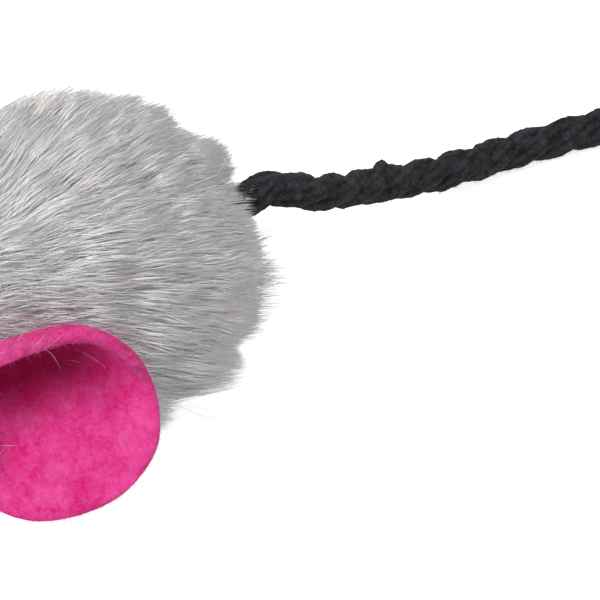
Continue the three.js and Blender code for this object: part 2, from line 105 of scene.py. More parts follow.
class Flow:
    """A material's node socket. Python maths on it adds Math nodes."""

    def __init__(self, tree, socket=None):
        self.tree = tree
        self.socket = socket

    def feed(self, target, value):
        if isinstance(value, Flow):
            self.tree.links.new(value.socket, target)
        else:
            target.default_value = value

    def node(self, kind, settings, inputs, out=0):
        made = self.tree.nodes.new(kind)
        for key, value in settings.items():
            if key == "stops":
                while len(made.color_ramp.elements) < len(value):
                    made.color_ramp.elements.new(1)
                for element, (place, colour) in zip(made.color_ramp.elements, value):
                    element.position = place
                    element.color = (*colour, 1)
            else:
                setattr(made, key, value)
        for key, value in inputs.items():
            self.feed(made.inputs[key], value)
        return Flow(self.tree, made.outputs[out])

    def maths(self, operation, first, second=0.0):
        return self.node("ShaderNodeMath", {"operation": operation}, {0: first, 1: second})

    def __add__(self, other):
        return self.maths("ADD", self, other)

    def __mul__(self, other):
        return self.maths("MULTIPLY", self, other)

    def __sub__(self, other):
        return self.maths("SUBTRACT", self, other)

    def __rsub__(self, other):
        return self.maths("SUBTRACT", other, self)

    __radd__ = __add__
    __rmul__ = __mul__


def finish(name, varying, **constants):
    """A material whose varying inputs come from a function of its first Flow."""
    made = bpy.data.materials.new(name)
    made.use_nodes = True
    shader = made.node_tree.nodes["Principled BSDF"]
    start = Flow(made.node_tree)
    for key, value in constants.items():
        shader.inputs[key.replace("_", " ")].default_value = value
    for key, value in varying(start).items():
        start.feed(shader.inputs[key], value)
    return made


def blended(start, factor, low, high):
    """The colour between two colours at a factor."""
    settings = {"data_type": "RGBA"}
    inputs = {0: factor, 6: (*low, 1), 7: (*high, 1)}
    return start.node("ShaderNodeMix", settings, inputs, out=2)


def noise(start, scale, detail=3.0, stretch=(1, 1, 1), warp=0.0):
    """Noise on the piece's own coordinates, with so many cells a metre."""
    place = start.node("ShaderNodeTexCoord", {}, {}, out="Object")
    place = start.node("ShaderNodeMapping", {}, {"Vector": place, "Scale": stretch})
    inputs = {"Vector": place, "Scale": scale, "Detail": detail, "Distortion": warp}
    return start.node("ShaderNodeTexNoise", {}, inputs, out="Fac")


def bumped(start, height, strength, distance):
    inputs = {"Height": height, "Strength": strength, "Distance": distance}
    return start.node("ShaderNodeBump", {}, inputs, out="Normal")


def in_order(bm):
    """Sorts faces by their points. Spins and spheres number them differently from run to run, and
    what is scattered on them would land elsewhere."""
    bm.verts.index_update()
    count = len(bm.verts)

    def place_of(part):
        low = sorted(v.index for v in part.verts)[:3]
        return sum(index * count ** (2 - k) for k, index in enumerate(low))
    bm.edges.sort(key=place_of)
    bm.faces.sort(key=place_of)


def piece_of(bm, name, material):
    """A new object at the origin from a bmesh."""
    in_order(bm)
    mesh = bpy.data.meshes.new(name)
    bm.to_mesh(mesh)
    bm.free()
    mesh.shade_smooth()
    mesh.materials.append(material)
    made = bpy.data.objects.new(name, mesh)
    bpy.context.scene.collection.objects.link(made)
    return made


def smooth_route(points, spacing):
    """Evenly spaced points on a smooth curve through a few points, with their directions."""
    ends = np.vstack([2 * points[0] - points[1], points, 2 * points[-1] - points[-2]])
    fine = []
    for a, b, c, d in zip(ends, ends[1:], ends[2:], ends[3:]):
        for t in np.linspace(0, 1, 24, endpoint=False):
            fine.append(0.5 * (2 * b + (c - a) * t + (2 * a - 5 * b + 4 * c - d) * t ** 2
                               + (3 * b - a - 3 * c + d) * t ** 3))
    fine = np.array([*fine, points[-1]])
    run = np.concatenate([[0], np.cumsum(np.linalg.norm(np.diff(fine, axis=0), axis=1))])
    stations = np.linspace(0, run[-1], int(run[-1] / spacing) + 1)
    line = np.stack([np.interp(stations, run, fine[:, k]) for k in range(3)], axis=1)
    ahead = np.gradient(line, axis=0)
    ahead /= np.linalg.norm(ahead, axis=1, keepdims=True)
    side = np.zeros_like(ahead)
    current = np.cross((0.0, 0.0, 1.0), ahead[0])
    for i, forward in enumerate(ahead):
        current = current - current.dot(forward) * forward
        current /= np.linalg.norm(current)
        side[i] = current
    return stations, line, ahead, side, np.cross(ahead, side)


def laid_rope(route, name, material, size=1.0):
    """A rope of twisted strands. Each strand is a rippled ring, spun along a straight axis. The
    yarns are then turned about their strand, and the rope is bent along its route."""
    stations, line, ahead, side, upward = smooth_route(route, rope_step)
    steps = len(stations) - 1
    spacing = stations[-1] / steps
    bm = bmesh.new()
    shade = bm.verts.layers.float.new("yarn")
    stand = Matrix.Rotation(math.pi / 2, 4, "Y")
    for strand in range(strand_count):
        phase = 2 * math.pi * strand / strand_count
        ring = bmesh.ops.create_circle(bm, segments=4 * yarn_count, radius=1, matrix=stand)["verts"]
        # Each point of a ring gets how near it is to a yarn's crown. It ripples the strand, and the rope's
        # colour uses it as painted shade in the grooves between yarns.
        for vert in ring:
            around = math.atan2(vert.co.z, vert.co.y) * yarn_count / (2 * math.pi)
            crown = abs(math.cos(around * math.pi))
            vert.co *= size * (strand_radius + yarn_ripple * (crown - 0.7))
            vert[shade] = crown
        centre = Vector((0, math.cos(phase), math.sin(phase))) * strand_offset * size
        bmesh.ops.translate(bm, verts=ring, vec=centre)
        edges = list(dict.fromkeys(e for v in ring for e in v.link_edges))
        bmesh.ops.spin(bm, geom=ring + edges, cent=(0, 0, 0), axis=(1, 0, 0), steps=steps,
                       dvec=(spacing, 0, 0), angle=-2 * math.pi * stations[-1] / (rope_pitch * size))
        for vert in bm.verts:
            if vert.tag:
                continue
            vert.tag = True
            turned = phase - 2 * math.pi * vert.co.x / (rope_pitch * size)
            y0 = strand_offset * size * math.cos(turned)
            z0 = strand_offset * size * math.sin(turned)
            own = -yarn_turns * (turned - phase)
            lump = field.noise(vert.co / lump_size) + 0.5 * field.noise(vert.co / small_lump_size)
            lump = 1 + lump * yarn_lump / strand_radius
            y, z = (vert.co.y - y0) * lump, (vert.co.z - z0) * lump
            vert.co.y = y0 + y * math.cos(own) - z * math.sin(own)
            vert.co.z = z0 + y * math.sin(own) + z * math.cos(own)
    rims = [e for e in bm.edges if e.is_boundary]
    bmesh.ops.holes_fill(bm, edges=rims, sides=0)
    for vert in bm.verts:
        row = min(int(round(vert.co.x / spacing)), steps)
        vert.co = Vector(line[row] + vert.co.y * side[row] + vert.co.z * upward[row])
        near = (vert.co - slub).length / slub_reach
        vert.co += view_up * slub_rise * max(1 - near ** 2, 0) ** 2
        vert.co.z = max(vert.co.z, 0.04 * mm)
    bmesh.ops.recalc_face_normals(bm, faces=bm.faces)
    return piece_of(bm, name, material), stations[-1], line


def rope_look(start):
    # Painted shade: the grooves between the yarns are painted darker than their crowns.
    yarn = start.node("ShaderNodeAttribute", {"attribute_name": "yarn"}, {}, out="Fac")
    grain = noise(start, 2600, 4)
    tufts = noise(start, 850, 3, warp=0.8)
    patches = noise(start, 330, 2)
    light = yarn * 0.4 + grain * 1.0 + tufts * 2.2 + patches * 1.0 - 1.88
    colour = blended(start, light, (0.0015, 0.0015, 0.002), (0.034, 0.035, 0.041))
    height = grain * 0.5 + tufts
    return {"Base Color": colour, "Normal": bumped(start, height, 0.9, 0.4 * mm)}


rope_black = finish("rope_black", rope_look, Roughness=0.9, Specular_IOR_Level=0.25)
whole_route = np.vstack([tail_start, tail_exit, tail_route, tail_finish])
tail_rope, tail_length, tail_line = laid_rope(whole_route, "tail_rope", rope_black)


def strands(name, knots, radius, tone, material):
    """Many tapered fibres as one piece. Each is a copy of one small three-sided cone, bent along
    its knots. Its map holds the fibre's tone across and its length upwards."""
    stretches = knots.shape[1] - 1
    bm = bmesh.new()
    lift = Matrix.Translation((0, 0, stretches / 2))
    bmesh.ops.create_cone(bm, cap_ends=True, segments=3, radius1=1, radius2=0, depth=stretches,
                          matrix=lift)
    bmesh.ops.remove_doubles(bm, verts=bm.verts, dist=0.001)
    for height in range(1, stretches):
        geom = [*bm.verts, *bm.edges, *bm.faces]
        bmesh.ops.bisect_plane(bm, geom=geom, plane_co=(0, 0, height), plane_no=(0, 0, 1))
    bmesh.ops.triangulate(bm, faces=bm.faces)
    bmesh.ops.recalc_face_normals(bm, faces=bm.faces)
    bm.verts.ensure_lookup_table()
    cone = np.array([v.co for v in bm.verts])
    faces = np.array([[v.index for v in f.verts] for f in bm.faces])
    bm.free()
    level = np.rint(cone[:, 2]).astype(int)
    width = np.maximum(1 - level / stretches, 1e-6)[:, None]
    across = np.where(level[:, None] < stretches, cone[:, :2] / width, 0)
    corner = np.rint((np.arctan2(cone[:, 1], cone[:, 0]) / (2 * math.pi / 3)) % 3) % 3
    taper = np.interp(level / stretches, (0, 0.33, 0.67, 1), (1.0, 0.95, 0.68, 0.0))
    ahead = np.gradient(knots, axis=1)
    ahead /= np.linalg.norm(ahead, axis=2, keepdims=True) + 1e-12
    first = np.cross(ahead, np.array([0.31, 0.83, -0.46]))
    first /= np.linalg.norm(first, axis=2, keepdims=True) + 1e-12
    second = np.cross(ahead, first)
    reach = radius[:, None, None] * taper[None, :, None]
    points = knots[:, level] + reach * (across[:, 0][None, :, None] * first[:, level]
                                        + across[:, 1][None, :, None] * second[:, level])
    count, per = len(knots), len(cone)
    corners = (np.arange(count)[:, None, None] * per + faces[None]).reshape(-1)
    mesh = bpy.data.meshes.new(name)
    mesh.vertices.add(count * per)
    mesh.vertices.foreach_set("co", points.astype(np.float32).reshape(-1))
    mesh.loops.add(len(corners))
    mesh.loops.foreach_set("vertex_index", corners)
    mesh.polygons.add(len(corners) // 3)
    mesh.polygons.foreach_set("loop_start", np.arange(0, len(corners), 3))
    u = tone[:, None] * 0.98 + corner[None] * 0.004
    v = np.broadcast_to(level / stretches + (level == 0) * (corner == 1) * 0.02, u.shape)
    fibre_map = mesh.uv_layers.new(name="OFBake")
    mapped = np.stack([u.reshape(-1)[corners], v.reshape(-1)[corners]], axis=1)
    fibre_map.data.foreach_set("uv", mapped.astype(np.float32).reshape(-1))
    mesh.update()
    mesh.validate()
    mesh.shade_smooth()
    mesh.materials.append(material)
    made = bpy.data.objects.new(name, mesh)
    bpy.context.scene.collection.objects.link(made)
    return made


def scattered(mesh, count, random):
    """Even random points on a mesh, with their smooth normals."""
    mesh.calc_loop_triangles()
    corners = np.empty(len(mesh.loop_triangles) * 3, np.int32)
    mesh.loop_triangles.foreach_get("vertices", corners)
    place = np.empty(len(mesh.vertices) * 3, np.float32)
    mesh.vertices.foreach_get("co", place)
    facing = np.empty(len(mesh.vertices) * 3, np.float32)
    mesh.vertices.foreach_get("normal", facing)
    place, facing = place.reshape(-1, 3)[corners], facing.reshape(-1, 3)[corners]
    place, facing = place.reshape(-1, 3, 3), facing.reshape(-1, 3, 3)
    area = np.linalg.norm(np.cross(place[:, 1] - place[:, 0], place[:, 2] - place[:, 0]), axis=1)
    chosen = random.choice(len(area), count, p=area / area.sum())
    a, b = random.random(count), random.random(count)
    a, b = np.where(a + b > 1, 1 - a, a), np.where(a + b > 1, 1 - b, b)
    share = np.stack([1 - a - b, a, b], axis=1)[:, :, None]
    roots = (place[chosen] * share).sum(axis=1)
    normals = (facing[chosen] * share).sum(axis=1)
    return roots, normals / np.linalg.norm(normals, axis=1, keepdims=True)


def lying(roots, normals, length, lift, random):
    """Short fibres that lie on a surface every way, rising a little from it."""
    way = random.normal(size=roots.shape)
    way -= (way * normals).sum(axis=1, keepdims=True) * normals
    way /= np.linalg.norm(way, axis=1, keepdims=True)
    bend = np.cross(normals, way) * random.normal(0, 0.35, (len(roots), 1))
    knots = [roots - normals * 0.05 * mm]
    for part in range(2):
        step = way + bend * part * 1.5 + normals * (lift * (1 - 0.6 * part))[:, None]
        step /= np.linalg.norm(step, axis=1, keepdims=True)
        knots.append(knots[-1] + step * length[:, None] / 2)
    return np.stack(knots, axis=1)


def lint_look(start):
    place = start.node("ShaderNodeUVMap", {"uv_map": "OFBake"}, {})
    tone = start.node("ShaderNodeSeparateXYZ", {}, {"Vector": place}, out="X")
    return {"Base Color": blended(start, tone, (0.004, 0.004, 0.006), (0.035, 0.035, 0.042))}


lint_black = finish("lint_black", lint_look, Roughness=0.9, Specular_IOR_Level=0.3)
random = np.random.default_rng(7)
lint_count = 5000
lint_radius = 0.032 * mm
lint_roots, lint_normals = scattered(tail_rope.data, lint_count, random)
lint_knots = lying(lint_roots, lint_normals, random.uniform(0.5, 1.5, lint_count) * mm,
                   random.uniform(0.05, 0.6, lint_count), random)
lint_knots[:, :, 2] = np.maximum(lint_knots[:, :, 2], 0.05 * mm)
lint_tone = random.random(lint_count)
tail_lint = strands("tail_lint", lint_knots, np.full(lint_count, lint_radius), lint_tone, lint_black)
for piece in (tail_rope, tail_lint):
    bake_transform(piece)
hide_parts("tail")

# Tail knots: each end of the rope is tied in an overhand knot and pulled tight. The one inside
# the skin stops the rope from pulling out, and the far one stops it from coming unlaid. A short
# tuft of loose yarn is left beyond that.
knot_low, knot_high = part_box("tail_end_knot")
knot_centre = np.array((knot_low + knot_high) / 2)
knot_ahead = tail_line[-1] - tail_line[-6]
knot_ahead /= np.linalg.norm(knot_ahead)


def overhand(centre, ahead, reach, depth):
    """The route of a rope round an overhand knot, looked at from its end as a three-leaf loop."""
    side = np.cross((0, 0, 1), ahead)
    side /= np.linalg.norm(side)
    upward = np.cross(ahead, side)
    turns = np.linspace(0.35, 2 * math.pi + 0.1, 40)[:, None]
    return (centre + side * (np.sin(turns) + 2 * np.sin(2 * turns)) * reach
            + upward * (np.cos(turns) - 2 * np.cos(2 * turns)) * reach
            - ahead * np.sin(3 * turns) * depth)


knot_route = overhand(knot_centre, knot_ahead, 1.18 * mm, 2.0 * mm)
tail_knot, _, _ = laid_rope(knot_route, "tail_knot", rope_black, size=0.7)
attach(tail_knot, "tail")
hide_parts("tail_end_knot")
root_ahead = np.array((1.0, 0.0, 0.0))
root_route = overhand(np.array((13.6, 0, 20.8)) * mm, root_ahead, 1.0 * mm, 2.0 * mm)
root_knot, _, _ = laid_rope(root_route, "root_knot", rope_black, size=0.62)
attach(root_knot, "body")
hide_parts("tail_root")
tuft_count = 260
tuft_radius = 0.11 * mm
tuft_way = random.normal(0, 0.22, (tuft_count, 3)) + knot_ahead
tuft_way /= np.linalg.norm(tuft_way, axis=1, keepdims=True)
tuft_start = knot_centre + knot_ahead * 3.2 * mm + random.normal(0, 0.9 * mm, (tuft_count, 3))
tuft_reach = random.uniform(2.2, 3.4, tuft_count)[:, None] * mm
tuft_knots = np.stack([tuft_start + tuft_way * tuft_reach * part / 3
                       + np.array((0, 0, -1)) * tuft_reach * 0.12 * (part / 3) ** 2
                       for part in range(4)], axis=1)
tuft_knots[:, :, 2] = np.maximum(tuft_knots[:, :, 2], 0.1 * mm)
tail_tuft = strands("tail_tuft", tuft_knots, np.full(tuft_count, tuft_radius),
                    random.random(tuft_count), lint_black)
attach(tail_tuft, "tail")

# Skin: three panels of plush cloth, two sides and a belly, sewn face to face and turned. The
# knitted backing lies one pile's height inside the mouse's outline, tight over its stuffing.
body_front = 66.5 * mm
body_rear = 25.5 * mm
body_half_width = 25 * mm
body_rise = 21 * mm
axis_height = 22 * mm
nose_height = 13 * mm
belly_flat = 0.5 * mm
pile_height = 6.0 * mm
cloth_thickness = 0.8 * mm
cloth_inset = 0.2 * mm
seam_tilt = math.tan(math.radians(29))
seam_slope = (axis_height - nose_height) / (body_front + body_rear)
seam_gap = 0.15 * mm


def smoothed(value, low, high):
    share = np.clip((value - low) / (high - low), 0, 1)
    return share * share * (3 - 2 * share)


def pile_at(along):
    """The pile is clipped shorter towards the nose."""
    return pile_height * (0.45 + 0.55 * smoothed(along, -0.95, -0.45))


def section_at(x, inset):
    """Half the width, the rise, the drop and the height of the middle, at a length."""
    front = x < 0
    along = x / (np.where(front, body_front, body_rear) - inset)
    middle = axis_height - (axis_height - nose_height) * np.minimum(x / body_front, 0) ** 2
    closing = np.maximum(1 - along ** 2, 0)
    half_width = (body_half_width - inset) * closing ** np.where(front, 0.75, 0.5)
    rise = (body_rise - inset) * closing ** np.where(front, 0.75, 1.06)
    fall = np.where(front, np.sqrt(np.maximum(1 - along ** 4, 0)), closing ** 0.2)
    return half_width, rise, (middle + belly_flat - inset) * fall, middle


def skin_point(along, angle, inset):
    x = along * (np.where(along < 0, body_front, body_rear) - inset)
    half_width, rise, drop, middle = section_at(x, inset)
    high = np.where(np.sin(angle) > 0, rise, drop)
    return np.stack([x, half_width * np.cos(angle), middle + high * np.sin(angle)], axis=-1)


def cloth_point(along, angle):
    """Points of the backing, a pile's height inside the outline."""
    return skin_point(along, angle, pile_at(along) + cloth_inset)


def unit(rows):
    return rows / (np.linalg.norm(rows, axis=1, keepdims=True) + 1e-12)


def body_outward(points):
    """The way out of the body near its surface, from how its rounds narrow along it."""
    def ratio(x, y, z):
        half_width, rise, drop, middle = section_at(x, pile_height)
        high = np.where(z > middle, rise, drop)
        return np.sqrt((y / half_width) ** 2 + ((z - middle) / high) ** 2)
    x, y, z = points.T
    x = np.clip(x, -0.985 * (body_front - pile_height), 0.96 * (body_rear - pile_height))
    step = 0.1 * mm
    slopes = [ratio(x + step, y, z) - ratio(x - step, y, z),
              ratio(x, y + step, z) - ratio(x, y - step, z),
              ratio(x, y, z + step) - ratio(x, y, z - step)]
    return unit(np.stack(slopes, axis=1))


def skin_panel(name, cuts, material):
    """A panel of the skin: the whole skin's shape, cut back to one side of each plane."""
    bm = bmesh.new()
    bmesh.ops.create_uvsphere(bm, u_segments=72, v_segments=60, radius=1)
    in_order(bm)
    ball = np.array([v.co for v in bm.verts])
    along, angle = ball[:, 2], np.arctan2(ball[:, 1], ball[:, 0])
    for vert, place in zip(bm.verts, cloth_point(along, angle)):
        vert.co = Vector(place)
    for place, facing in cuts:
        geom = [*bm.verts, *bm.edges, *bm.faces]
        bmesh.ops.bisect_plane(bm, geom=geom, plane_co=place, plane_no=facing, clear_inner=True)
    bmesh.ops.recalc_face_normals(bm, faces=bm.faces)
    made = piece_of(bm, name.replace("panel", "cloth"), material)
    wall = made.modifiers.new("wall", "SOLIDIFY")
    wall.thickness = cloth_thickness
    wall.offset = -1
    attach(made, "body")
    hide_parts(name)
    return made


def backing_look(start):
    """The knitted back of the plush, with rows of small loops."""
    settings = {"wave_type": "BANDS", "bands_direction": "X"}
    place = start.node("ShaderNodeTexCoord", {}, {}, out="Object")
    rows = start.node("ShaderNodeTexWave", settings, {"Vector": place, "Scale": 420.0,
                                                      "Distortion": 1.5}, out="Fac")
    worn = noise(start, 900, 3)
    colour = blended(start, rows * 0.5 + worn * 0.5, (0.50, 0.50, 0.505), (0.66, 0.66, 0.665))
    return {"Base Color": colour, "Normal": bumped(start, rows, 0.6, 0.2 * mm)}


backing_grey = finish("backing_grey", backing_look, Roughness=0.9, Specular_IOR_Level=0.2)
seam_start = Vector((-body_front, 0, nose_height))
above, below = seam_start + Vector((0, 0, seam_gap)), seam_start - Vector((0, 0, seam_gap))
left_side = skin_panel("left_side_panel", [((0, -seam_gap, 0), (0, -1, 0)),
                                           (above, (-seam_slope, -seam_tilt, 1))], backing_grey)
right_side = skin_panel("right_side_panel", [((0, seam_gap, 0), (0, 1, 0)),
                                             (above, (-seam_slope, seam_tilt, 1))], backing_grey)
belly = skin_panel("belly_panel", [(below, (seam_slope, seam_tilt, -1)),
                                   (below, (seam_slope, -seam_tilt, -1))], backing_grey)

# Seams: grey sewing thread holds the panels together in short stitches across each seam. The
# left belly seam was left open for the filling, and is closed by hand with longer stitches.
def stitches(name, points, across, outward, length, radius, material):
    """A row of stitches, each a short round thread pulled tight across a seam."""
    bm = bmesh.new()
    for place, way, rise in zip(points, unit(across), unit(outward)):
        frame_of = Matrix((way * length / 2, np.cross(rise, way) * radius, rise * radius))
        placed = Matrix.Translation(Vector(place)) @ frame_of.transposed().to_4x4()
        bmesh.ops.create_uvsphere(bm, u_segments=8, v_segments=8, radius=1, matrix=placed)
    return piece_of(bm, name, material)


def seam_places(first, last, count):
    """Points of the cloth on the left belly seam, at shares of the body's length."""
    along = np.linspace(first, last, count)
    low, high = np.full(count, math.pi), np.full(count, 1.5 * math.pi)
    for _ in range(24):
        middle = (low + high) / 2
        point = cloth_point(along, middle)
        seam = nose_height + seam_slope * (point[:, 0] + body_front)
        above_seam = point[:, 2] > seam - seam_tilt * np.abs(point[:, 1])
        low, high = np.where(above_seam, middle, low), np.where(above_seam, high, middle)
    return point


def thread_look(start):
    settings = {"wave_type": "BANDS", "bands_direction": "DIAGONAL"}
    place = start.node("ShaderNodeTexCoord", {}, {}, out="Object")
    ply = start.node("ShaderNodeTexWave", settings, {"Vector": place, "Scale": 900.0}, out="Fac")
    return {"Base Color": blended(start, ply, (0.24, 0.24, 0.25), (0.42, 0.42, 0.43)),
            "Normal": bumped(start, ply, 0.5, 0.1 * mm)}


thread_grey = finish("thread_grey", thread_look, Roughness=0.75, Specular_IOR_Level=0.4)
stitch_length = 2.2 * mm
stitch_radius = 0.25 * mm
closing_length = 3.4 * mm
closing_radius = 0.3 * mm
seam_front = -0.86
seam_rear = 0.72
back_count = 34
back_points = cloth_point(np.linspace(seam_front, 0.80, back_count), np.full(back_count, math.pi / 2))
across_back = np.tile((0.0, 1.0, 0.0), (back_count, 1))
back_stitches = stitches("back_stitches", back_points, across_back, body_outward(back_points),
                         stitch_length, stitch_radius, thread_grey)
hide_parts("dorsal_seam_thread")
left_run = seam_places(0.05, seam_rear, 12)
right_run = seam_places(seam_front, seam_rear, 32) * np.array((1, -1, 1))
front_run = seam_places(seam_front, -0.38, 10)
belly_points = np.vstack([front_run, left_run, right_run])
belly_out = body_outward(belly_points)
belly_stitches = stitches("belly_stitches", belly_points,
                          np.cross(belly_out, (1.0, 0.0, 0.1)), belly_out,
                          stitch_length, stitch_radius, thread_grey)
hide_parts("belly_seam_thread")
closing_points = seam_places(-0.35, 0.02, 9)
closing_out = body_outward(closing_points)
closing_across = np.cross(closing_out, (1.0, 0.0, 0.1)) + np.array((0.35, 0, 0))
closing_stitches = stitches("closing_stitches", closing_points, closing_across, closing_out,
                            closing_length, closing_radius, thread_grey)
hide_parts("closing_stitch")
for piece in (back_stitches, belly_stitches, closing_stitches):
    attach(piece, "body")

# Filling: loose polyester fibre is packed round a small cotton pouch of dried catnip leaf. The
# pouch's neck is gathered and tied with a turn of the same thread, doubled.
def wadding_look(start):
    cloud = noise(start, 240, 4, warp=1.5)
    wisps = noise(start, 1100, 5, warp=2.0)
    return {"Base Color": blended(start, cloud * 0.6 + wisps * 0.4, (0.74, 0.74, 0.72), (0.93, 0.93, 0.92)),
            "Normal": bumped(start, cloud + wisps, 0.9, 0.6 * mm)}


wadding_inset = 1.5 * mm
puff_height = 0.35 * mm
bm = bmesh.new()
bmesh.ops.create_uvsphere(bm, u_segments=64, v_segments=56, radius=1)
ball = np.array([v.co for v in bm.verts])
along, angle = ball[:, 2], np.arctan2(ball[:, 1], ball[:, 0])
puff = puff_height * (1 + np.sin(7 * angle + 9 * along) * np.sin(17 * along + 2 * angle))
for vert, place in zip(bm.verts, skin_point(along, angle, pile_at(along) + wadding_inset + puff)):
    vert.co = Vector(place)
bmesh.ops.recalc_face_normals(bm, faces=bm.faces)
wadding = piece_of(bm, "wadding", finish("wadding_white", wadding_look, Roughness=0.95))
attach(wadding, "body")
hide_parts("stuffing")


def cotton_look(start):
    settings = {"wave_type": "BANDS", "bands_direction": "X"}
    place = start.node("ShaderNodeTexCoord", {}, {}, out="Object")
    warp = start.node("ShaderNodeTexWave", settings, {"Vector": place, "Scale": 520.0}, out="Fac")
    settings = {"wave_type": "BANDS", "bands_direction": "Z"}
    weft = start.node("ShaderNodeTexWave", settings, {"Vector": place, "Scale": 520.0}, out="Fac")
    return {"Base Color": blended(start, warp * weft, (0.62, 0.59, 0.50), (0.86, 0.83, 0.75)),
            "Normal": bumped(start, warp + weft, 0.6, 0.15 * mm)}


pouch_centre = Vector((-20, 0, 21)) * mm
pouch_profile = [(-11.9, 0), (-11.6, 2.4), (-10, 5.4), (-6.4, 7.9), (0, 8.8), (6, 7.9), (9.8, 5.2),
                 (11.8, 3.5), (14.5, 2.9), (16.2, 3.9), (17, 4.4), (16.9, 0)]
bm = bmesh.new()
line = [bm.verts.new((x * mm, radius * mm, 0)) for x, radius in pouch_profile]
edges = [bm.edges.new(pair) for pair in zip(line, line[1:])]
bmesh.ops.spin(bm, geom=line + edges, cent=(0, 0, 0), axis=(1, 0, 0), steps=60,
               angle=2 * math.pi, use_merge=True)
bmesh.ops.remove_doubles(bm, verts=bm.verts, dist=0.001 * mm)
in_order(bm)
bmesh.ops.subdivide_edges(bm, edges=bm.edges, cuts=1, use_grid_fill=True, smooth=0.6)
for vert in bm.verts:
    gathered = float(smoothed(vert.co.x, 4 * mm, 13 * mm)) * 0.16
    pleat = 1 + gathered * math.cos(11 * math.atan2(vert.co.z, vert.co.y))
    vert.co = pouch_centre + Vector((vert.co.x, vert.co.y * pleat, vert.co.z * pleat))
bmesh.ops.recalc_face_normals(bm, faces=bm.faces)
pouch = piece_of(bm, "cotton_pouch", finish("cotton_cream", cotton_look, Roughness=0.9))
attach(pouch, "body")
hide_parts("catnip_pouch")
neck_at = 14.5 * mm
tie_radius = 3.8 * mm
turns = np.linspace(0, 2 * math.pi, 40)[:, None]
tie_route = (np.array(pouch_centre) + np.array((neck_at, 0, 0))
             + tie_radius * (np.cos(turns) * (0, 1, 0) + np.sin(turns) * (0, 0, 1)))
tie, _, _ = laid_rope(tie_route, "neck_tie", thread_grey, size=0.22)
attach(tie, "body")
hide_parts("pouch_tie")


def leaf_look(start):
    flakes = noise(start, 900, 2, warp=1.0)
    colour = blended(start, flakes * 1.6 - 0.3, (0.10, 0.12, 0.035), (0.30, 0.33, 0.12))
    return {"Base Color": colour, "Normal": bumped(start, flakes, 1.0, 0.5 * mm)}


random = np.random.default_rng(5)
bm = bmesh.new()
leaf_half_length = 10.2 * mm
leaf_half_width = 7.1 * mm
crumb_height = 0.25 * mm
leaf_size = Matrix.Diagonal((leaf_half_length, leaf_half_width, leaf_half_width, 1))
bmesh.ops.create_icosphere(bm, subdivisions=5, radius=1, matrix=Matrix.Translation(pouch_centre) @ leaf_size)
for vert in bm.verts:
    vert.co += (vert.co - pouch_centre).normalized() * random.uniform(-crumb_height, crumb_height)
leaf = piece_of(bm, "catnip_leaf", finish("leaf_green", leaf_look, Roughness=0.95))
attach(leaf, "body")
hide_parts("catnip_fill")

# Ears: each is one leaf of thick pink wool felt, gathered and sewn down along its base. Its
# lower rim turns up at the base, and its upper rim rolls over towards the front.
felt_thickness = 1.8 * mm
rim_round = 1.0 * mm
ear_half_height = 13.8 * mm
ear_tip_length = 13.8 * mm
ear_base_length = 19.4 * mm
ear_trim = 1 * mm
ear_sag = 3.6 * mm
ear_roll_radius = 5.4 * mm
ear_roll_angle = math.radians(145)
ear_cup_angle = math.radians(70)
ear_seat = Vector((-33.524, -17.452, 30.656)) * mm
ear_hinge = Vector((0.2721, 0.5457, 0.7926)).normalized()
ear_lengthwise = Vector((0.8949, -0.4462, 0.0)).normalized()
ear_facing = Vector((-0.2495, -0.5004, 0.829)).normalized()
ear_upward = ear_facing.cross(ear_lengthwise).normalized()
ear_lengthwise = ear_upward.cross(ear_facing)
ear_twist = math.atan2(ear_hinge.dot(ear_facing), ear_hinge.dot(ear_upward))
right_ear_lift = math.radians(26)
pleat_at = 8.9 * mm
pleat_width = 1.0 * mm
pleat_depth = 1.4 * mm
crease_at = 10.3 * mm
upper_drop = 2.0 * mm
lower_rise = 1.3 * mm
base_drop = 0.9 * mm


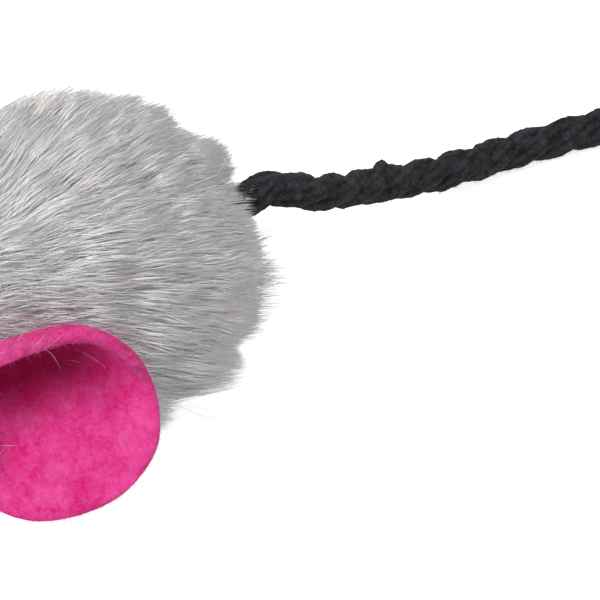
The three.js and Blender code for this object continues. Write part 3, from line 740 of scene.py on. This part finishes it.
def ear_shape(share_long, share_high):
    """Points of the middle of the felt, from shares of the leaf's length and height."""
    long = share_long * np.sqrt(1 - share_high ** 2 / 2)
    chord = np.sqrt(np.maximum(1 - long ** 2, 1e-9))
    share = share_high * np.sqrt(1 - share_long ** 2 / 2) / chord
    length = ear_base_length - ear_trim
    length = length + long * np.where(long < 0, ear_base_length, ear_tip_length)
    half = ear_half_height * chord * (0.75 + 0.25 * smoothed(length, 0, 6 * mm))
    whole = ear_base_length - ear_trim + ear_tip_length
    roll = ear_roll_angle * np.sqrt(np.maximum(1 - (length / whole) ** 4, 0))
    cup = ear_cup_angle * (1 - smoothed(length, 0, 12 * mm))
    roll_radius = np.minimum(ear_roll_radius, 0.55 * half)
    cup_radius = 0.4 * half
    roll_from = half - roll_radius * np.sin(np.minimum(roll, math.pi / 2))
    cup_from = -half + cup_radius * np.sin(cup)
    spread = roll_from - cup_from + roll * roll_radius + cup * cup_radius
    run = (share + 1) / 2 * spread - cup * cup_radius
    low = np.maximum(-run / cup_radius, 0)
    high = np.maximum((run - roll_from + cup_from) / roll_radius, 0)
    across = np.clip(cup_from + run, cup_from, roll_from)
    across = across - cup_radius * np.sin(low) + roll_radius * np.sin(high)
    rise = cup_radius * (1 - np.cos(low)) + roll_radius * (1 - np.cos(high))
    pleat = np.exp(-((length - pleat_at) / pleat_width) ** 2) * smoothed(-across, -3 * mm, 2 * mm)
    rise = rise - pleat_depth * pleat * (1 - smoothed(-across, 6 * mm, 11 * mm))
    top_drop = upper_drop * (1 - smoothed(length, 6 * mm, 24 * mm)) * smoothed(length, 0, 6 * mm)
    low_rise = lower_rise * smoothed(length, 12 * mm, 24 * mm)
    low_rise = low_rise - base_drop * (1 - smoothed(length, 8 * mm, 14 * mm)) * smoothed(length, 0, 6 * mm)
    across = across - top_drop * smoothed(across, -2 * mm, 6 * mm)
    across = across + low_rise * smoothed(-across, 0, 9 * mm)
    # Painted shade: how dark the felt is painted, most under the rolled rim towards the base and along the
    # crease, less towards the tip.
    fold_shade_from = 9 * mm + 6 * mm * (1 - smoothed(length, 9 * mm, 20 * mm))
    fold = smoothed(run, roll_from - cup_from - fold_shade_from, roll_from - cup_from + 1 * mm)
    fold = fold * (1 - smoothed(high, 0.9, 1.7)) * (1 - smoothed(length, 18 * mm, 30 * mm))
    crease_shade = np.exp(-((length - crease_at) / pleat_width) ** 2) * smoothed(-across, -2 * mm, 3 * mm)
    fold = np.maximum(fold, 0.55 * crease_shade * (1 - smoothed(-across, 6 * mm, 11 * mm)))
    free = smoothed(length, 0, 15 * mm)
    across = across - ear_sag * free
    rim = smoothed(high, 0.7, 1.5)
    twist = ear_twist * (1 - free)
    upward = across * np.cos(twist) - rise * np.sin(twist)
    facing = across * np.sin(twist) + rise * np.cos(twist)
    place = (np.array(ear_seat) + length[:, None] * np.array(ear_lengthwise)
             + upward[:, None] * np.array(ear_upward) + facing[:, None] * np.array(ear_facing))
    return place, fold, rim


def on_right(points):
    """Moves points of the left ear to the right one, which is lifted further."""
    hinge = Vector((ear_hinge.x, -ear_hinge.y, ear_hinge.z))
    seat = Vector((ear_seat.x, -ear_seat.y, ear_seat.z))
    lift = Matrix.Rotation(right_ear_lift, 4, hinge)
    placed = Matrix.Translation(seat) @ lift @ Matrix.Translation(-seat)
    return [placed @ Vector((p[0], -p[1], p[2])) for p in points]


def felt_look(start):
    """Matted wool: fine fibres on a cloudy ground, with painted shade under the rolled rim and in the
    crease, and darker patches on the rolled rim.
    """
    cloud = noise(start, 330, 4, warp=0.6)
    fibres = noise(start, 1500, 5, stretch=(1, 0.35, 1.4), warp=1.0)
    wear = noise(start, 120, 3)
    fold = start.node("ShaderNodeAttribute", {"attribute_name": "fold"}, {}, out="Fac")
    mix = cloud * 1.9 + fibres * 1.4 + wear * 1.1 - 1.7
    worn = blended(start, mix, (0.58, 0.006, 0.15), (0.74, 0.080, 0.32))
    # Painted shade: the felt is mixed towards deep crimson under the rolled rim and in the crease.
    inputs = {0: fold * 0.9, 6: worn, 7: (0.20, 0.0004, 0.025, 1)}
    colour = start.node("ShaderNodeMix", {"data_type": "RGBA"}, inputs, out=2)
    rim = start.node("ShaderNodeAttribute", {"attribute_name": "rim"}, {}, out="Fac")
    patch = noise(start, 560, 4, warp=1.2)
    inputs = {0: rim * (patch * 2.6 - 0.85), 6: colour, 7: (0.36, 0.035, 0.13, 1)}
    colour = start.node("ShaderNodeMix", {"data_type": "RGBA"}, inputs, out=2)
    height = fibres * 0.7 + noise(start, 700, 3) * 0.5
    return {"Base Color": colour, "Normal": bumped(start, height, 0.6, 0.3 * mm)}


felt_pink = finish("felt_pink", felt_look, Roughness=0.95, Specular_IOR_Level=0.08,
                   Sheen_Weight=0.1, Sheen_Roughness=0.5, Sheen_Tint=(1, 0.15, 0.45, 1))


def wool_look(start):
    place = start.node("ShaderNodeUVMap", {"uv_map": "OFBake"}, {})
    tone = start.node("ShaderNodeSeparateXYZ", {}, {"Vector": place}, out="X")
    return {"Base Color": blended(start, tone, (0.55, 0.015, 0.17), (0.90, 0.20, 0.48))}


wool_pink = finish("wool_pink", wool_look, Roughness=0.9, Specular_IOR_Level=0.2)


def felt_ear(name, moved):
    bm = bmesh.new()
    bmesh.ops.create_grid(bm, x_segments=52, y_segments=52, size=1)
    leaf = np.array([v.co for v in bm.verts])
    leaf = 1.5 * leaf - 0.5 * leaf ** 3
    from_rim = np.clip((1 - np.abs(leaf[:, :2]).max(axis=1)) * ear_half_height / rim_round, 0, 1)
    # Layers on the felt's points: the painted shade under the rolled rim and in the crease, the rolled rim,
    # and the thickness.
    fold_shade_layer = bm.verts.layers.float.new("fold")
    rolled = bm.verts.layers.float.new("rim")
    groups = bm.verts.layers.deform.new("thickness")
    rounding = np.maximum(np.sqrt(1 - (1 - from_rim) ** 2), 0.1)
    shape = ear_shape(leaf[:, 0], leaf[:, 1])
    for vert, place, fold, rim, full in zip(bm.verts, *shape, rounding):
        vert.co = Vector(place)
        vert[fold_shade_layer] = fold
        vert[rolled] = rim
        vert[groups][0] = full
    bmesh.ops.bisect_plane(bm, geom=[*bm.verts, *bm.edges, *bm.faces], plane_co=ear_seat,
                           plane_no=ear_lengthwise, clear_inner=True)
    for vert, place in zip(bm.verts, moved([v.co for v in bm.verts])):
        vert.co = Vector(place)
    bmesh.ops.recalc_face_normals(bm, faces=bm.faces)
    made = piece_of(bm, name + "_felt", felt_pink)
    wall = made.modifiers.new("wall", "SOLIDIFY")
    wall.thickness = felt_thickness
    wall.offset = 0
    made.vertex_groups.new(name="thickness")
    wall.vertex_group = "thickness"
    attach(made, name)
    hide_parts(name)
    return made


def fold_shade_near(ear, places):
    """The painted shade under the rolled rim and in the crease at each place on an ear, from its nearest
    point.
    """
    tree = KDTree(len(ear.data.vertices))
    for vertex in ear.data.vertices:
        tree.insert(vertex.co, vertex.index)
    tree.balance()
    fold_shades = ear.data.attributes["fold"].data
    return np.array([fold_shades[tree.find(place)[1]].value for place in places])


thread_pink = finish("thread_pink", lambda start: {"Base Color": blended(
    start, noise(start, 2500, 2), (0.42, 0.02, 0.14), (0.66, 0.09, 0.32))}, Roughness=0.75)


gather_radius = 2.25 * mm
gather_half_length = 4.9 * mm
whip_radius = 2.3 * mm
whip_thread_radius = 0.24 * mm


def ear_base(name, moved):
    """The felt gathered along the hinge, and the turns of thread that whip it to the skin. Gives
    the felt."""
    along_hinge = ear_hinge.to_track_quat("Z", "Y").to_matrix().to_4x4()
    placed = Matrix.Translation(ear_seat) @ along_hinge
    bm = bmesh.new()
    bmesh.ops.create_uvsphere(bm, u_segments=36, v_segments=24, radius=1)
    for vert in bm.verts:
        pleat = gather_radius * (1 + 0.07 * math.sin(5 * math.atan2(vert.co.y, vert.co.x) + 4 * vert.co.z))
        vert.co = placed @ Vector((vert.co.x * pleat, vert.co.y * pleat, vert.co.z * gather_half_length))
    for vert, place in zip(bm.verts, moved([v.co for v in bm.verts])):
        vert.co = place
    bmesh.ops.recalc_face_normals(bm, faces=bm.faces)
    gathered = piece_of(bm, name + "_gather", felt_pink)
    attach(gathered, name)
    bm = bmesh.new()
    for height in np.linspace(-2.6, 2.6, 5):
        spot = Matrix.Translation((whip_radius, 0, height * mm)) @ Matrix.Rotation(math.pi / 2, 4, "X")
        ring = bmesh.ops.create_circle(bm, segments=8, radius=whip_thread_radius, matrix=spot)["verts"]
        edges = list(dict.fromkeys(e for v in ring for e in v.link_edges))
        bmesh.ops.spin(bm, geom=ring + edges, cent=(0, 0, 0), axis=(0, 0.25, 1), steps=28,
                       angle=2 * math.pi, use_merge=True)
    for vert, place in zip(bm.verts, moved([placed @ v.co for v in bm.verts])):
        vert.co = place
    bmesh.ops.recalc_face_normals(bm, faces=bm.faces)
    whipped = piece_of(bm, name + "_whipping", thread_pink)
    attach(whipped, "body")
    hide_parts(name + "_stitch")
    return gathered


left_ear = felt_ear("left_ear", list)
right_ear = felt_ear("right_ear", on_right)
bpy.context.view_layer.update()
settled = bpy.context.evaluated_depsgraph_get()
random = np.random.default_rng(13)
fuzz_count = 8000
fuzz_radius = 0.022 * mm
fuzz_length_most = 3 * mm
for ear, body in ((left_ear, "left_ear"), (right_ear, "right_ear")):
    fuzz_roots, fuzz_normals = scattered(ear.evaluated_get(settled).to_mesh(), fuzz_count, random)
    fuzz_length = (0.5 + random.exponential(0.55, fuzz_count)) * mm
    fuzz_knots = lying(fuzz_roots, fuzz_normals, np.minimum(fuzz_length, fuzz_length_most),
                       random.uniform(0.02, 0.35, fuzz_count), random)
    # Painted shade: fuzz fibres rooted under the rolled rim and in the crease are painted darker.
    fold_shade_here = fold_shade_near(ear, fuzz_roots)
    fuzz = strands(body + "_fuzz", fuzz_knots, np.full(fuzz_count, fuzz_radius),
                   random.uniform(0.5, 1, fuzz_count) * (1 - 0.9 * fold_shade_here), wool_pink)
    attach(fuzz, body)
    gathered = ear_base(body, list if ear is left_ear else on_right)

# Eyes and nose: the eyes are glossy black beads on shanks, pushed through the cloth. The nose
# is a small stuffed button of the same felt as the ears, sewn over the end of the snout.
def bead_look(start):
    return {"Roughness": noise(start, 500, 2) * 0.08 + 0.06}


bead_black = finish("bead_black", bead_look, Base_Color=(0.004, 0.004, 0.005, 1), Specular_IOR_Level=0.35)
washer_white = finish("washer_white", lambda start: {"Roughness": noise(start, 700, 2) * 0.2 + 0.4},
                      Base_Color=(0.72, 0.72, 0.71, 1))
eye_radius = 3.2 * mm
eye_dome = 2.8 * mm
eye_back = 0.7 * mm
eye_sunk = 1.4 * mm
shank_length = 8 * mm
eye_places = skin_point(np.array((-0.74, -0.74)), np.radians((156, 24)), 0)
eye_axes = body_outward(eye_places)
for side, place, axis in zip(("left", "right"), eye_places, eye_axes):
    seat = Matrix.Translation(Vector(place) - eye_sunk * Vector(axis))
    seat = seat @ Vector(axis).to_track_quat("Z", "Y").to_matrix().to_4x4()
    bm = bmesh.new()
    bmesh.ops.create_uvsphere(bm, u_segments=56, v_segments=40, radius=1)
    for vert in bm.verts:
        high = vert.co.z * (eye_dome if vert.co.z > 0 else eye_back)
        vert.co = seat @ Vector((vert.co.x * eye_radius, vert.co.y * eye_radius, high))
    shank = Matrix.Translation((0, 0, -4.1 * mm))
    bmesh.ops.create_cone(bm, cap_ends=True, segments=24, radius1=1 * mm, radius2=1.1 * mm,
                          depth=shank_length, matrix=seat @ shank)
    eye = piece_of(bm, side + "_bead", bead_black)
    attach(eye, "body")
    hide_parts(side + "_eye")
    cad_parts[side + "_eye_washer"].data.materials.clear()
    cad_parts[side + "_eye_washer"].data.materials.append(washer_white)
bm = bmesh.new()
nose_size = Matrix.Diagonal((3.2 * mm, 4.2 * mm, 4.2 * mm, 1))
nose_centre = np.array((-66.2 * mm, 0, nose_height))
nose_place = Matrix.Translation(Vector(nose_centre))
bmesh.ops.create_uvsphere(bm, u_segments=40, v_segments=28, radius=1, matrix=nose_place @ nose_size)
for vert in bm.verts:
    turned = math.atan2(vert.co.z - nose_height, vert.co.y)
    pleat = 0.12 * mm * math.sin(9 * turned) * smoothed(vert.co.x, -68 * mm, -65 * mm)
    vert.co += Vector((0, math.cos(turned), math.sin(turned))) * float(pleat)
nose = piece_of(bm, "nose_button", felt_pink)
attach(nose, "body")
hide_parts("nose")

# Pile: long silver-grey fibres stand in the backing and are brushed from the nose to the tail.
# They cling together in locks. Painted shade makes them darker towards their roots, deep in the pile.
hair_counts = {"left": 40000, "right": 40000, "belly": 15000}
lock_count = 4200
clump_count = 420
hair_length_most = 15 * mm
hair_step = 3.5 * mm
hair_width = 0.076 * mm
root_depth = 0.3 * mm
lifts = np.radians((58, 24, 6))


def combed(roots, normals, wander, lift_share, length_share):
    """Fibres brushed along the body, as four points each. They follow its curve, and stand out
    straight where it closes at the rear."""
    sunk = roots - normals * root_depth
    along = roots[:, 0] / np.where(roots[:, 0] < 0, body_front, body_rear)
    height = pile_at(along)
    rear_low = smoothed(roots[:, 0], 4 * mm, 18 * mm) * smoothed(-normals[:, 2], 0, 0.6)
    parted = smoothed(roots[:, 1], -6 * mm, 6 * mm) * 2 - 1
    ways, rises = [], []
    place = roots.copy()
    for lift in lifts:
        outward = normals if not ways else body_outward(place)
        way = np.array((1.0, 0.0, -0.30)) + 0.30 * outward[:, 2:3] * outward + wander
        way[:, 1] += 0.22 * parted
        way[:, 2] += 0.25 * rear_low
        way = way - np.minimum((way * outward).sum(axis=1), 0)[:, None] * outward
        way = unit(way)
        raised = lift * lift_share * (1 + 0.6 * rear_low)
        step = np.cos(raised)[:, None] * way + np.sin(raised)[:, None] * outward
        step = unit(step)
        ways.append(step)
        rises.append((step * outward).sum(axis=1))
        place = place + step * hair_step
    shoulder = smoothed(roots[:, 0], 0, 10 * mm) * smoothed(normals[:, 2], 0.1, 0.5)
    shoulder = shoulder * (1 - smoothed(normals[:, 0], 0.72, 0.92))
    rear_flat = smoothed(normals[:, 0], 0.4, 0.9) * (1 - smoothed(normals[:, 2], 0.15, 0.5))
    under = smoothed(-normals[:, 2], 0.1, 0.5) * (1 - smoothed(roots[:, 0], 4 * mm, 14 * mm))
    fullness = 1.12 + 0.27 * shoulder + 1.05 * rear_low - 0.12 * rear_flat - 0.3 * under
    length = fullness * height / np.maximum(np.mean(rises, axis=0), 0.42)
    length = np.minimum(length, hair_length_most) * length_share
    knots = [sunk, roots + ways[0] * length[:, None] / 3]
    for step in ways[1:]:
        knots.append(knots[-1] + step * length[:, None] / 3)
    return np.stack(knots, axis=1)


def nearest(places, targets):
    tree = KDTree(len(targets))
    for i, target in enumerate(targets):
        tree.insert(target, i)
    tree.balance()
    return np.array([tree.find(place)[1] for place in places])


random = np.random.default_rng(21)
panels = {"left": left_side, "right": right_side, "belly": belly}
found = [scattered(panels[key].data, count, random) for key, count in hair_counts.items()]
hair_roots = np.vstack([part[0] for part in found])
hair_normals = unit(np.vstack([part[1] for part in found]))
hair_count = len(hair_roots)
chosen = random.choice(hair_count, lock_count, replace=False)
lock_of = nearest(hair_roots, hair_roots[chosen])
clump_of = nearest(hair_roots[chosen], hair_roots[chosen[:clump_count]])
lock_wander = random.normal(0, 0.10, (lock_count, 3)) + random.normal(0, 0.09, (clump_count, 3))[clump_of]
lock_lift = random.normal(1, 0.05, lock_count) * random.normal(1, 0.06, clump_count)[clump_of]
lock_length = random.uniform(0.88, 1.08, lock_count) * random.uniform(0.92, 1.06, clump_count)[clump_of]
lock_tone = random.normal(0, 0.05, lock_count) + random.normal(0, 0.06, clump_count)[clump_of]
lock_warm = np.where(random.random(clump_count) < 0.16, 0.4, 0.06)[clump_of]
lock_knots = combed(hair_roots[chosen], hair_normals[chosen], lock_wander, lock_lift, lock_length)
hair_knots = combed(hair_roots, hair_normals,
                    lock_wander[lock_of] + random.normal(0, 0.09, (hair_count, 3)),
                    lock_lift[lock_of] * random.normal(1, 0.08, hair_count),
                    lock_length[lock_of] * random.uniform(0.75, 1.06, hair_count))
gather = np.array((0, 0.03, 0.08, 0.17))[None, :, None] * random.uniform(0.2, 1.2, (hair_count, 1, 1))
hair_knots += (lock_knots[lock_of] - hair_knots) * gather
# Painted light and shade: fibres on the rear are painted darker, and fibres whose roots do not face upwards
# are painted lighter.
hair_tone = 0.57 - 0.30 * smoothed(hair_normals[:, 0], 0.2, 0.8)
hair_tone += 0.15 * (1 - smoothed(hair_normals[:, 2], 0.6, 1.0))
hair_tone = np.clip(hair_tone + lock_tone[lock_of] + random.normal(0, 0.06, hair_count), 0.02, 0.9)
warm = random.random(hair_count) < lock_warm[lock_of]
hair_tone = np.where(warm, random.uniform(0.93, 0.96, hair_count), hair_tone)
ear_points = KDTree(len(left_ear.data.vertices) + len(right_ear.data.vertices))
for ear in (left_ear, right_ear):
    for vertex in ear.data.vertices:
        ear_points.insert(vertex.co, vertex.index)
ear_points.balance()
from_ear = np.array([ear_points.find(tip)[2] for tip in hair_knots[:, 3]])
# Painted reflection: most fibres whose tips lie close to an ear get the pink tones, as pink light thrown
# back from the felt.
pink_bounce = random.random(hair_count) < 0.85 - 0.85 * smoothed(from_ear, 1.5 * mm, 8 * mm)
hair_tone = np.where(pink_bounce, random.uniform(0.98, 1.0, hair_count), hair_tone)


def pressed(knots, touching, room):
    """Moves the free points of fibres out of round things that stand in the pile."""
    for centre in touching:
        away = knots[:, 1:] - centre
        far = np.linalg.norm(away, axis=2, keepdims=True)
        moved = centre + away / (far + 1e-9) * room
        knots[:, 1:] = np.where(far < room, moved, knots[:, 1:])


eye_clear = 3.5 * mm


def along_fibres(knots, share):
    """Points at a number of stretches from the root of each fibre."""
    first = np.minimum(share.astype(int), knots.shape[1] - 2)
    low = np.take_along_axis(knots, first[:, :, None], axis=1)
    high = np.take_along_axis(knots, first[:, :, None] + 1, axis=1)
    return low + (high - low) * (share - first)[:, :, None]


def trimmed(knots):
    """Clips the fibres that would cover an eye. Gives how many of their stretches are left."""
    steps = np.broadcast_to(np.linspace(0, 3, 19), (len(knots), 19))
    points = along_fibres(knots, steps)
    covers = np.zeros(steps.shape, bool)
    for place, axis in zip(eye_places, eye_axes):
        offset = points - place
        height = offset @ axis
        aside = np.linalg.norm(offset - height[:, :, None] * axis, axis=2)
        covers |= (aside < eye_clear) & (height > -4.5 * mm)
    left = np.where(covers.any(axis=1), np.maximum(covers.argmax(axis=1) - 1, 0) / 6, 3)
    knots[:] = along_fibres(knots, left[:, None] * np.arange(4)[None] / 3)
    return left


def beyond(points, room):
    """Which points are further out than the body's outline and some room round it."""
    x, y, z = points.T
    half_width, rise, drop, middle = section_at(x, -room)
    high = np.where(z > middle, rise, drop)
    ratio = (y / (half_width + 1e-9)) ** 2 + ((z - middle) / (high + 1e-9)) ** 2
    return (ratio > 1) | (x > body_rear + room)


rear_top = np.flatnonzero((hair_normals[:, 0] > 0.45) & (hair_roots[:, 2] > 14 * mm)
                          & (np.abs(hair_roots[:, 1]) < 12 * mm))
room = random.uniform(-1.9, -0.3, len(rear_top)) * mm
room += 3.2 * mm * smoothed(hair_normals[rear_top, 1], -0.1, 0.3)
for _ in range(12):
    over = beyond(hair_knots[rear_top, 3], room)
    shorter = hair_roots[rear_top, None] + (hair_knots[rear_top] - hair_roots[rear_top, None]) * 0.93
    hair_knots[rear_top] = np.where(over[:, None, None], shorter, hair_knots[rear_top])
# At a few places the outer ends of the fibres stand aside, as in the photo. Each push has a place
# and a reach in the photo's view, and how far it goes there, in millimetres.
pushed_side = -12 * mm
pushes = [((-11.9, 21.2), 3.4, (1.3, 0.5)), ((-15.9, 25.4), 3.5, (-0.6, -1.2)),
          ((-34.8, 29.6), 4.5, (0.0, -1.0)), ((-3.6, 0.5), 4.5, (-1.1, 0.0)),
          ((-11.3, -10.4), 4.5, (3.4, -0.6)), ((-18.8, -14.5), 2.8, (-0.6, -3.6))]
for (right_at, up_at), reach, (right_push, up_push) in pushes:
    seen = hair_knots[:, 3] - np.array(aim)
    aside = (seen @ np.array(view_right) - right_at * mm) ** 2
    aside = aside + (seen @ np.array(view_up) - up_at * mm) ** 2
    push = np.array(view_right * right_push + view_up * up_push) * mm
    push = np.maximum(1 - aside / (reach * mm) ** 2, 0)[:, None] * push
    push *= (hair_knots[:, 3] @ np.array(view_from) > pushed_side)[:, None]
    for point, share in ((3, 1.0), (2, 0.6), (1, 0.2)):
        hair_knots[:, point] += share * push
least_left = 0.6
nose_clear = 4.4 * mm
rope_clear = 2.5 * mm
floor_clear = 0.25 * mm
kept = trimmed(hair_knots) > least_left
pressed(hair_knots, [nose_centre], nose_clear)
rear_hairs = np.flatnonzero(hair_knots[:, 3, 0] > 16 * mm)
rear_knots = hair_knots[rear_hairs]
pressed(rear_knots, smooth_route(whole_route[:5], 0.7 * mm)[1], rope_clear)
hair_knots[rear_hairs] = rear_knots
hair_knots[:, 1:, 2] = np.maximum(hair_knots[:, 1:, 2], floor_clear)


def crossed(trees, line):
    """Whether a fibre goes through any of some things."""
    for i in range(3):
        step = line[i + 1] - line[i]
        far = float(np.linalg.norm(step)) + 1e-9
        for tree in trees:
            if tree.ray_cast(line[i], step / far, far)[0] is not None:
                return True
    return False


def folded(ear, seat, axis, degrees):
    """A tree of an ear's faces as it stands when folded so far about its hinge."""
    bm = bmesh.new()
    bm.from_object(ear, settled)
    turn = Matrix.Rotation(math.radians(degrees), 4, axis)
    turn = Matrix.Translation(seat) @ turn @ Matrix.Translation(-seat)
    bmesh.ops.transform(bm, matrix=turn, verts=bm.verts)
    tree = BVHTree.FromBMesh(bm)
    bm.free()
    return tree


right_seat = Vector((ear_seat.x, -ear_seat.y, ear_seat.z))
right_hinge = Vector((ear_hinge.x, -ear_hinge.y, ear_hinge.z))
left_trees = [folded(left_ear, ear_seat, -ear_hinge, degrees) for degrees in (0, 40, 75)]
right_trees = [folded(right_ear, right_seat, right_hinge, degrees) for degrees in (0, -12, -24, 50)]
for i in np.flatnonzero((hair_roots[:, 0] > -48 * mm) & (hair_roots[:, 2] > 10 * mm)):
    trees = left_trees if hair_roots[i, 1] < 0 else right_trees
    if not crossed(trees, hair_knots[i]):
        continue
    outward = hair_normals[i]
    for lower in (0.55, 0.2, 0.05):
        rise = ((hair_knots[i] - hair_roots[i]) * outward).sum(axis=1)[:, None]
        low = hair_knots[i] - outward * rise * (1 - lower) * (rise > 0)
        if not crossed(trees, low):
            break
    if crossed(trees, low):
        low = low[:1] + (low - low[:1]) * 0.4
        kept[i] &= not crossed(trees, low)
    hair_knots[i] = low


def pile_look(start):
    place = start.node("ShaderNodeUVMap", {"uv_map": "OFBake"}, {})
    apart = {"Vector": place}
    tone = start.node("ShaderNodeSeparateXYZ", {}, apart, out="X")
    reach = start.node("ShaderNodeSeparateXYZ", {}, apart, out="Y")
    # The stops up to 0.96 are the fibres' greys and warm beiges; the pink stops at 0.98 and 1.0 are painted
    # reflection of the pink felt.
    tones_and_pink_bounce = [(0.0, (0.72, 0.72, 0.74)), (0.45, (0.87, 0.87, 0.89)), (0.9, (0.94, 0.94, 0.96)),
            (0.92, (0.93, 0.86, 0.80)), (0.96, (0.90, 0.80, 0.78)), (0.98, (0.88, 0.66, 0.75)),
            (1.0, (0.86, 0.54, 0.66))]
    tip = start.node("ShaderNodeValToRGB", {"stops": tones_and_pink_bounce}, {"Fac": tone}, out="Color")
    # Painted shade: each fibre is darker and warmer towards its root, deep in the pile.
    shade = {"stops": [(0.0, (0.90, 0.86, 0.85)), (0.35, (0.97, 0.96, 0.96)), (0.7, (1, 1, 1))]}
    root_shade = start.node("ShaderNodeValToRGB", shade, {"Fac": reach}, out="Color")
    settings = {"data_type": "RGBA", "blend_type": "MULTIPLY"}
    colour = start.node("ShaderNodeMix", settings, {0: 1.0, 6: tip, 7: root_shade}, out=2)
    return {"Base Color": colour}


pile_grey = finish("pile_grey", pile_look, Roughness=0.75, Specular_IOR_Level=0.15,
                   Sheen_Weight=0.2, Sheen_Roughness=0.5)
hair_radius = hair_width * random.uniform(0.7, 1.3, hair_count)
panel_from = 0
for key, count in hair_counts.items():
    order = panel_from + np.argsort(hair_roots[panel_from:panel_from + count, 0])
    panel_from += count
    for part, rows in enumerate(np.split(order, 2 if key == "belly" else 4)):
        rows = rows[kept[rows]]
        pile = strands(f"pile_{key}_{part + 1}", hair_knots[rows], hair_radius[rows],
                       hair_tone[rows], pile_grey)
        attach(pile, "body")

# Strays: a few finer, longer fibres of the same yarn have worked loose and stand out of the pile.
# None of them hangs over an eye, goes through an ear or lies over the root of the tail.
stray_count = 520
stray_radius = 0.045 * mm
strays = random.choice(np.flatnonzero(kept), stray_count, replace=False)
stray_knots = combed(hair_roots[strays], hair_normals[strays],
                     random.normal(0, 0.30, (stray_count, 3)),
                     random.uniform(0.9, 1.6, stray_count),
                     random.uniform(0.9, 1.3, stray_count) + 0.5 * (random.random(stray_count) < 0.12))
stray_knots[:, 2:] += random.normal(0, 0.3 * mm, (stray_count, 2, 3))
strays_left = trimmed(stray_knots)
strays_left[(stray_knots[:, 3, 0] > 25.5 * mm) & (stray_knots[:, 3, 2] > 12 * mm)] = 0
stray_knots[:, 1:, 2] = np.maximum(stray_knots[:, 1:, 2], floor_clear)
loose = [i for i in range(stray_count) if strays_left[i] > least_left
         and not crossed(left_trees + right_trees, stray_knots[i])]
pile_strays = strands("pile_strays", stray_knots[loose], np.full(len(loose), stray_radius),
                      random.uniform(0.0, 0.8, len(loose)), pile_grey)
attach(pile_strays, "body")

# Shed hairs: a few fibres of the pile have come out and cling to the fuzz of the ears, over the
# rolled rim and along the pleat. The right ear has every third one.
random = np.random.default_rng(31)
shed_count = 28
shed_radius = 0.017 * mm
on_rim = np.arange(shed_count) < 20
shed_long = np.where(on_rim, random.uniform(4, 22, shed_count),
                     random.uniform(7.6, 10.5, shed_count)) * mm
shed_high = np.where(on_rim, random.uniform(4.5, 9, shed_count),
                     random.uniform(-11, 1, shed_count)) * mm
shed_knots = []
for long, high in zip(shed_long, shed_high):
    above_ear = ear_seat + ear_lengthwise * long + ear_upward * high + ear_facing * 60 * mm
    place, normal, _, _ = left_trees[0].ray_cast(above_ear, -ear_facing)
    if place is None:
        continue
    lean = random.normal(0, 0.5, 3) + np.array(ear_lengthwise * 1.3 + ear_upward * 0.2)
    lean = unit((lean - lean.dot(normal) * np.array(normal))[None])[0]
    curl = np.cross(normal, lean) * random.normal(0, 0.45)
    knots = [np.array(place + normal * 0.02 * mm)]
    reach = random.uniform(2, 5) * mm / 3
    for rise in (0.35, 0.1, 0.25):
        lean = unit((lean + curl + random.normal(0, 0.08, 3))[None])[0]
        knots.append(knots[-1] + (lean + rise * np.array(normal)) * reach)
    if not crossed(left_trees[:1], knots):
        shed_knots.append(knots)
shed_knots = np.array(shed_knots)
moved_knots = np.array(on_right(shed_knots[::3].reshape(-1, 3))).reshape(-1, 4, 3)
for body, knots in (("left_ear", shed_knots), ("right_ear", moved_knots)):
    shed = strands(body + "_shed_hairs", knots, np.full(len(knots), shed_radius),
                   random.uniform(0.3, 0.9, len(knots)), pile_grey)
    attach(shed, body)

# Stage: a white sheet under and behind the mouse, which the camera sees as white, and a large
# soft lamp overhead, a little behind the mouse.
def shown(start):
    """1 where the camera sees it, also in a gloss or through something clear, and else 0."""
    camera_ray = start.node("ShaderNodeLightPath", {}, {}, out="Is Camera Ray")
    glossy_ray = start.node("ShaderNodeLightPath", {}, {}, out="Is Glossy Ray")
    clear_ray = start.node("ShaderNodeLightPath", {}, {}, out="Is Transmission Ray")
    return start.maths("MINIMUM", camera_ray + glossy_ray + clear_ray, 1.0)


floor_white = bpy.data.materials.new("floor_white")
floor_white.use_nodes = True
start = Flow(floor_white.node_tree)
shader = floor_white.node_tree.nodes["Principled BSDF"]
shader.inputs["Base Color"].default_value = (0.82, 0.82, 0.82, 1)
shader.inputs["Roughness"].default_value = 0.9
shader.inputs["Specular IOR Level"].default_value = 0.0
shader.inputs["Emission Color"].default_value = (1, 1, 1, 1)
start.feed(shader.inputs["Emission Strength"], shown(start) * 0.72)
bm = bmesh.new()
bmesh.ops.create_grid(bm, x_segments=2, y_segments=2, size=3)
floor = piece_of(bm, "floor", floor_white)

world = bpy.data.worlds.new("studio")
bpy.context.scene.world = world
world.use_nodes = True
start = Flow(world.node_tree)
background = world.node_tree.nodes["Background"]
background.inputs["Color"].default_value = (1, 1, 1, 1)
start.feed(background.inputs["Strength"], shown(start) * 0.34 + 0.66)

lamp_data = bpy.data.lights.new("overhead_lamp", "AREA")
lamp_data.shape = "SQUARE"
lamp_data.size = 0.55
lamp_data.energy = 5.2
lamp = bpy.data.objects.new("overhead_lamp", lamp_data)
bpy.context.scene.collection.objects.link(lamp)
lamp_place = aim + Vector((-0.32, 0.06, 0.78))
lamp_turn = (aim - lamp_place).to_track_quat("-Z", "Y").to_matrix().to_4x4()
lamp.matrix_world = Matrix.Translation(lamp_place) @ lamp_turn

bpy.context.scene.view_settings.view_transform = "Standard"
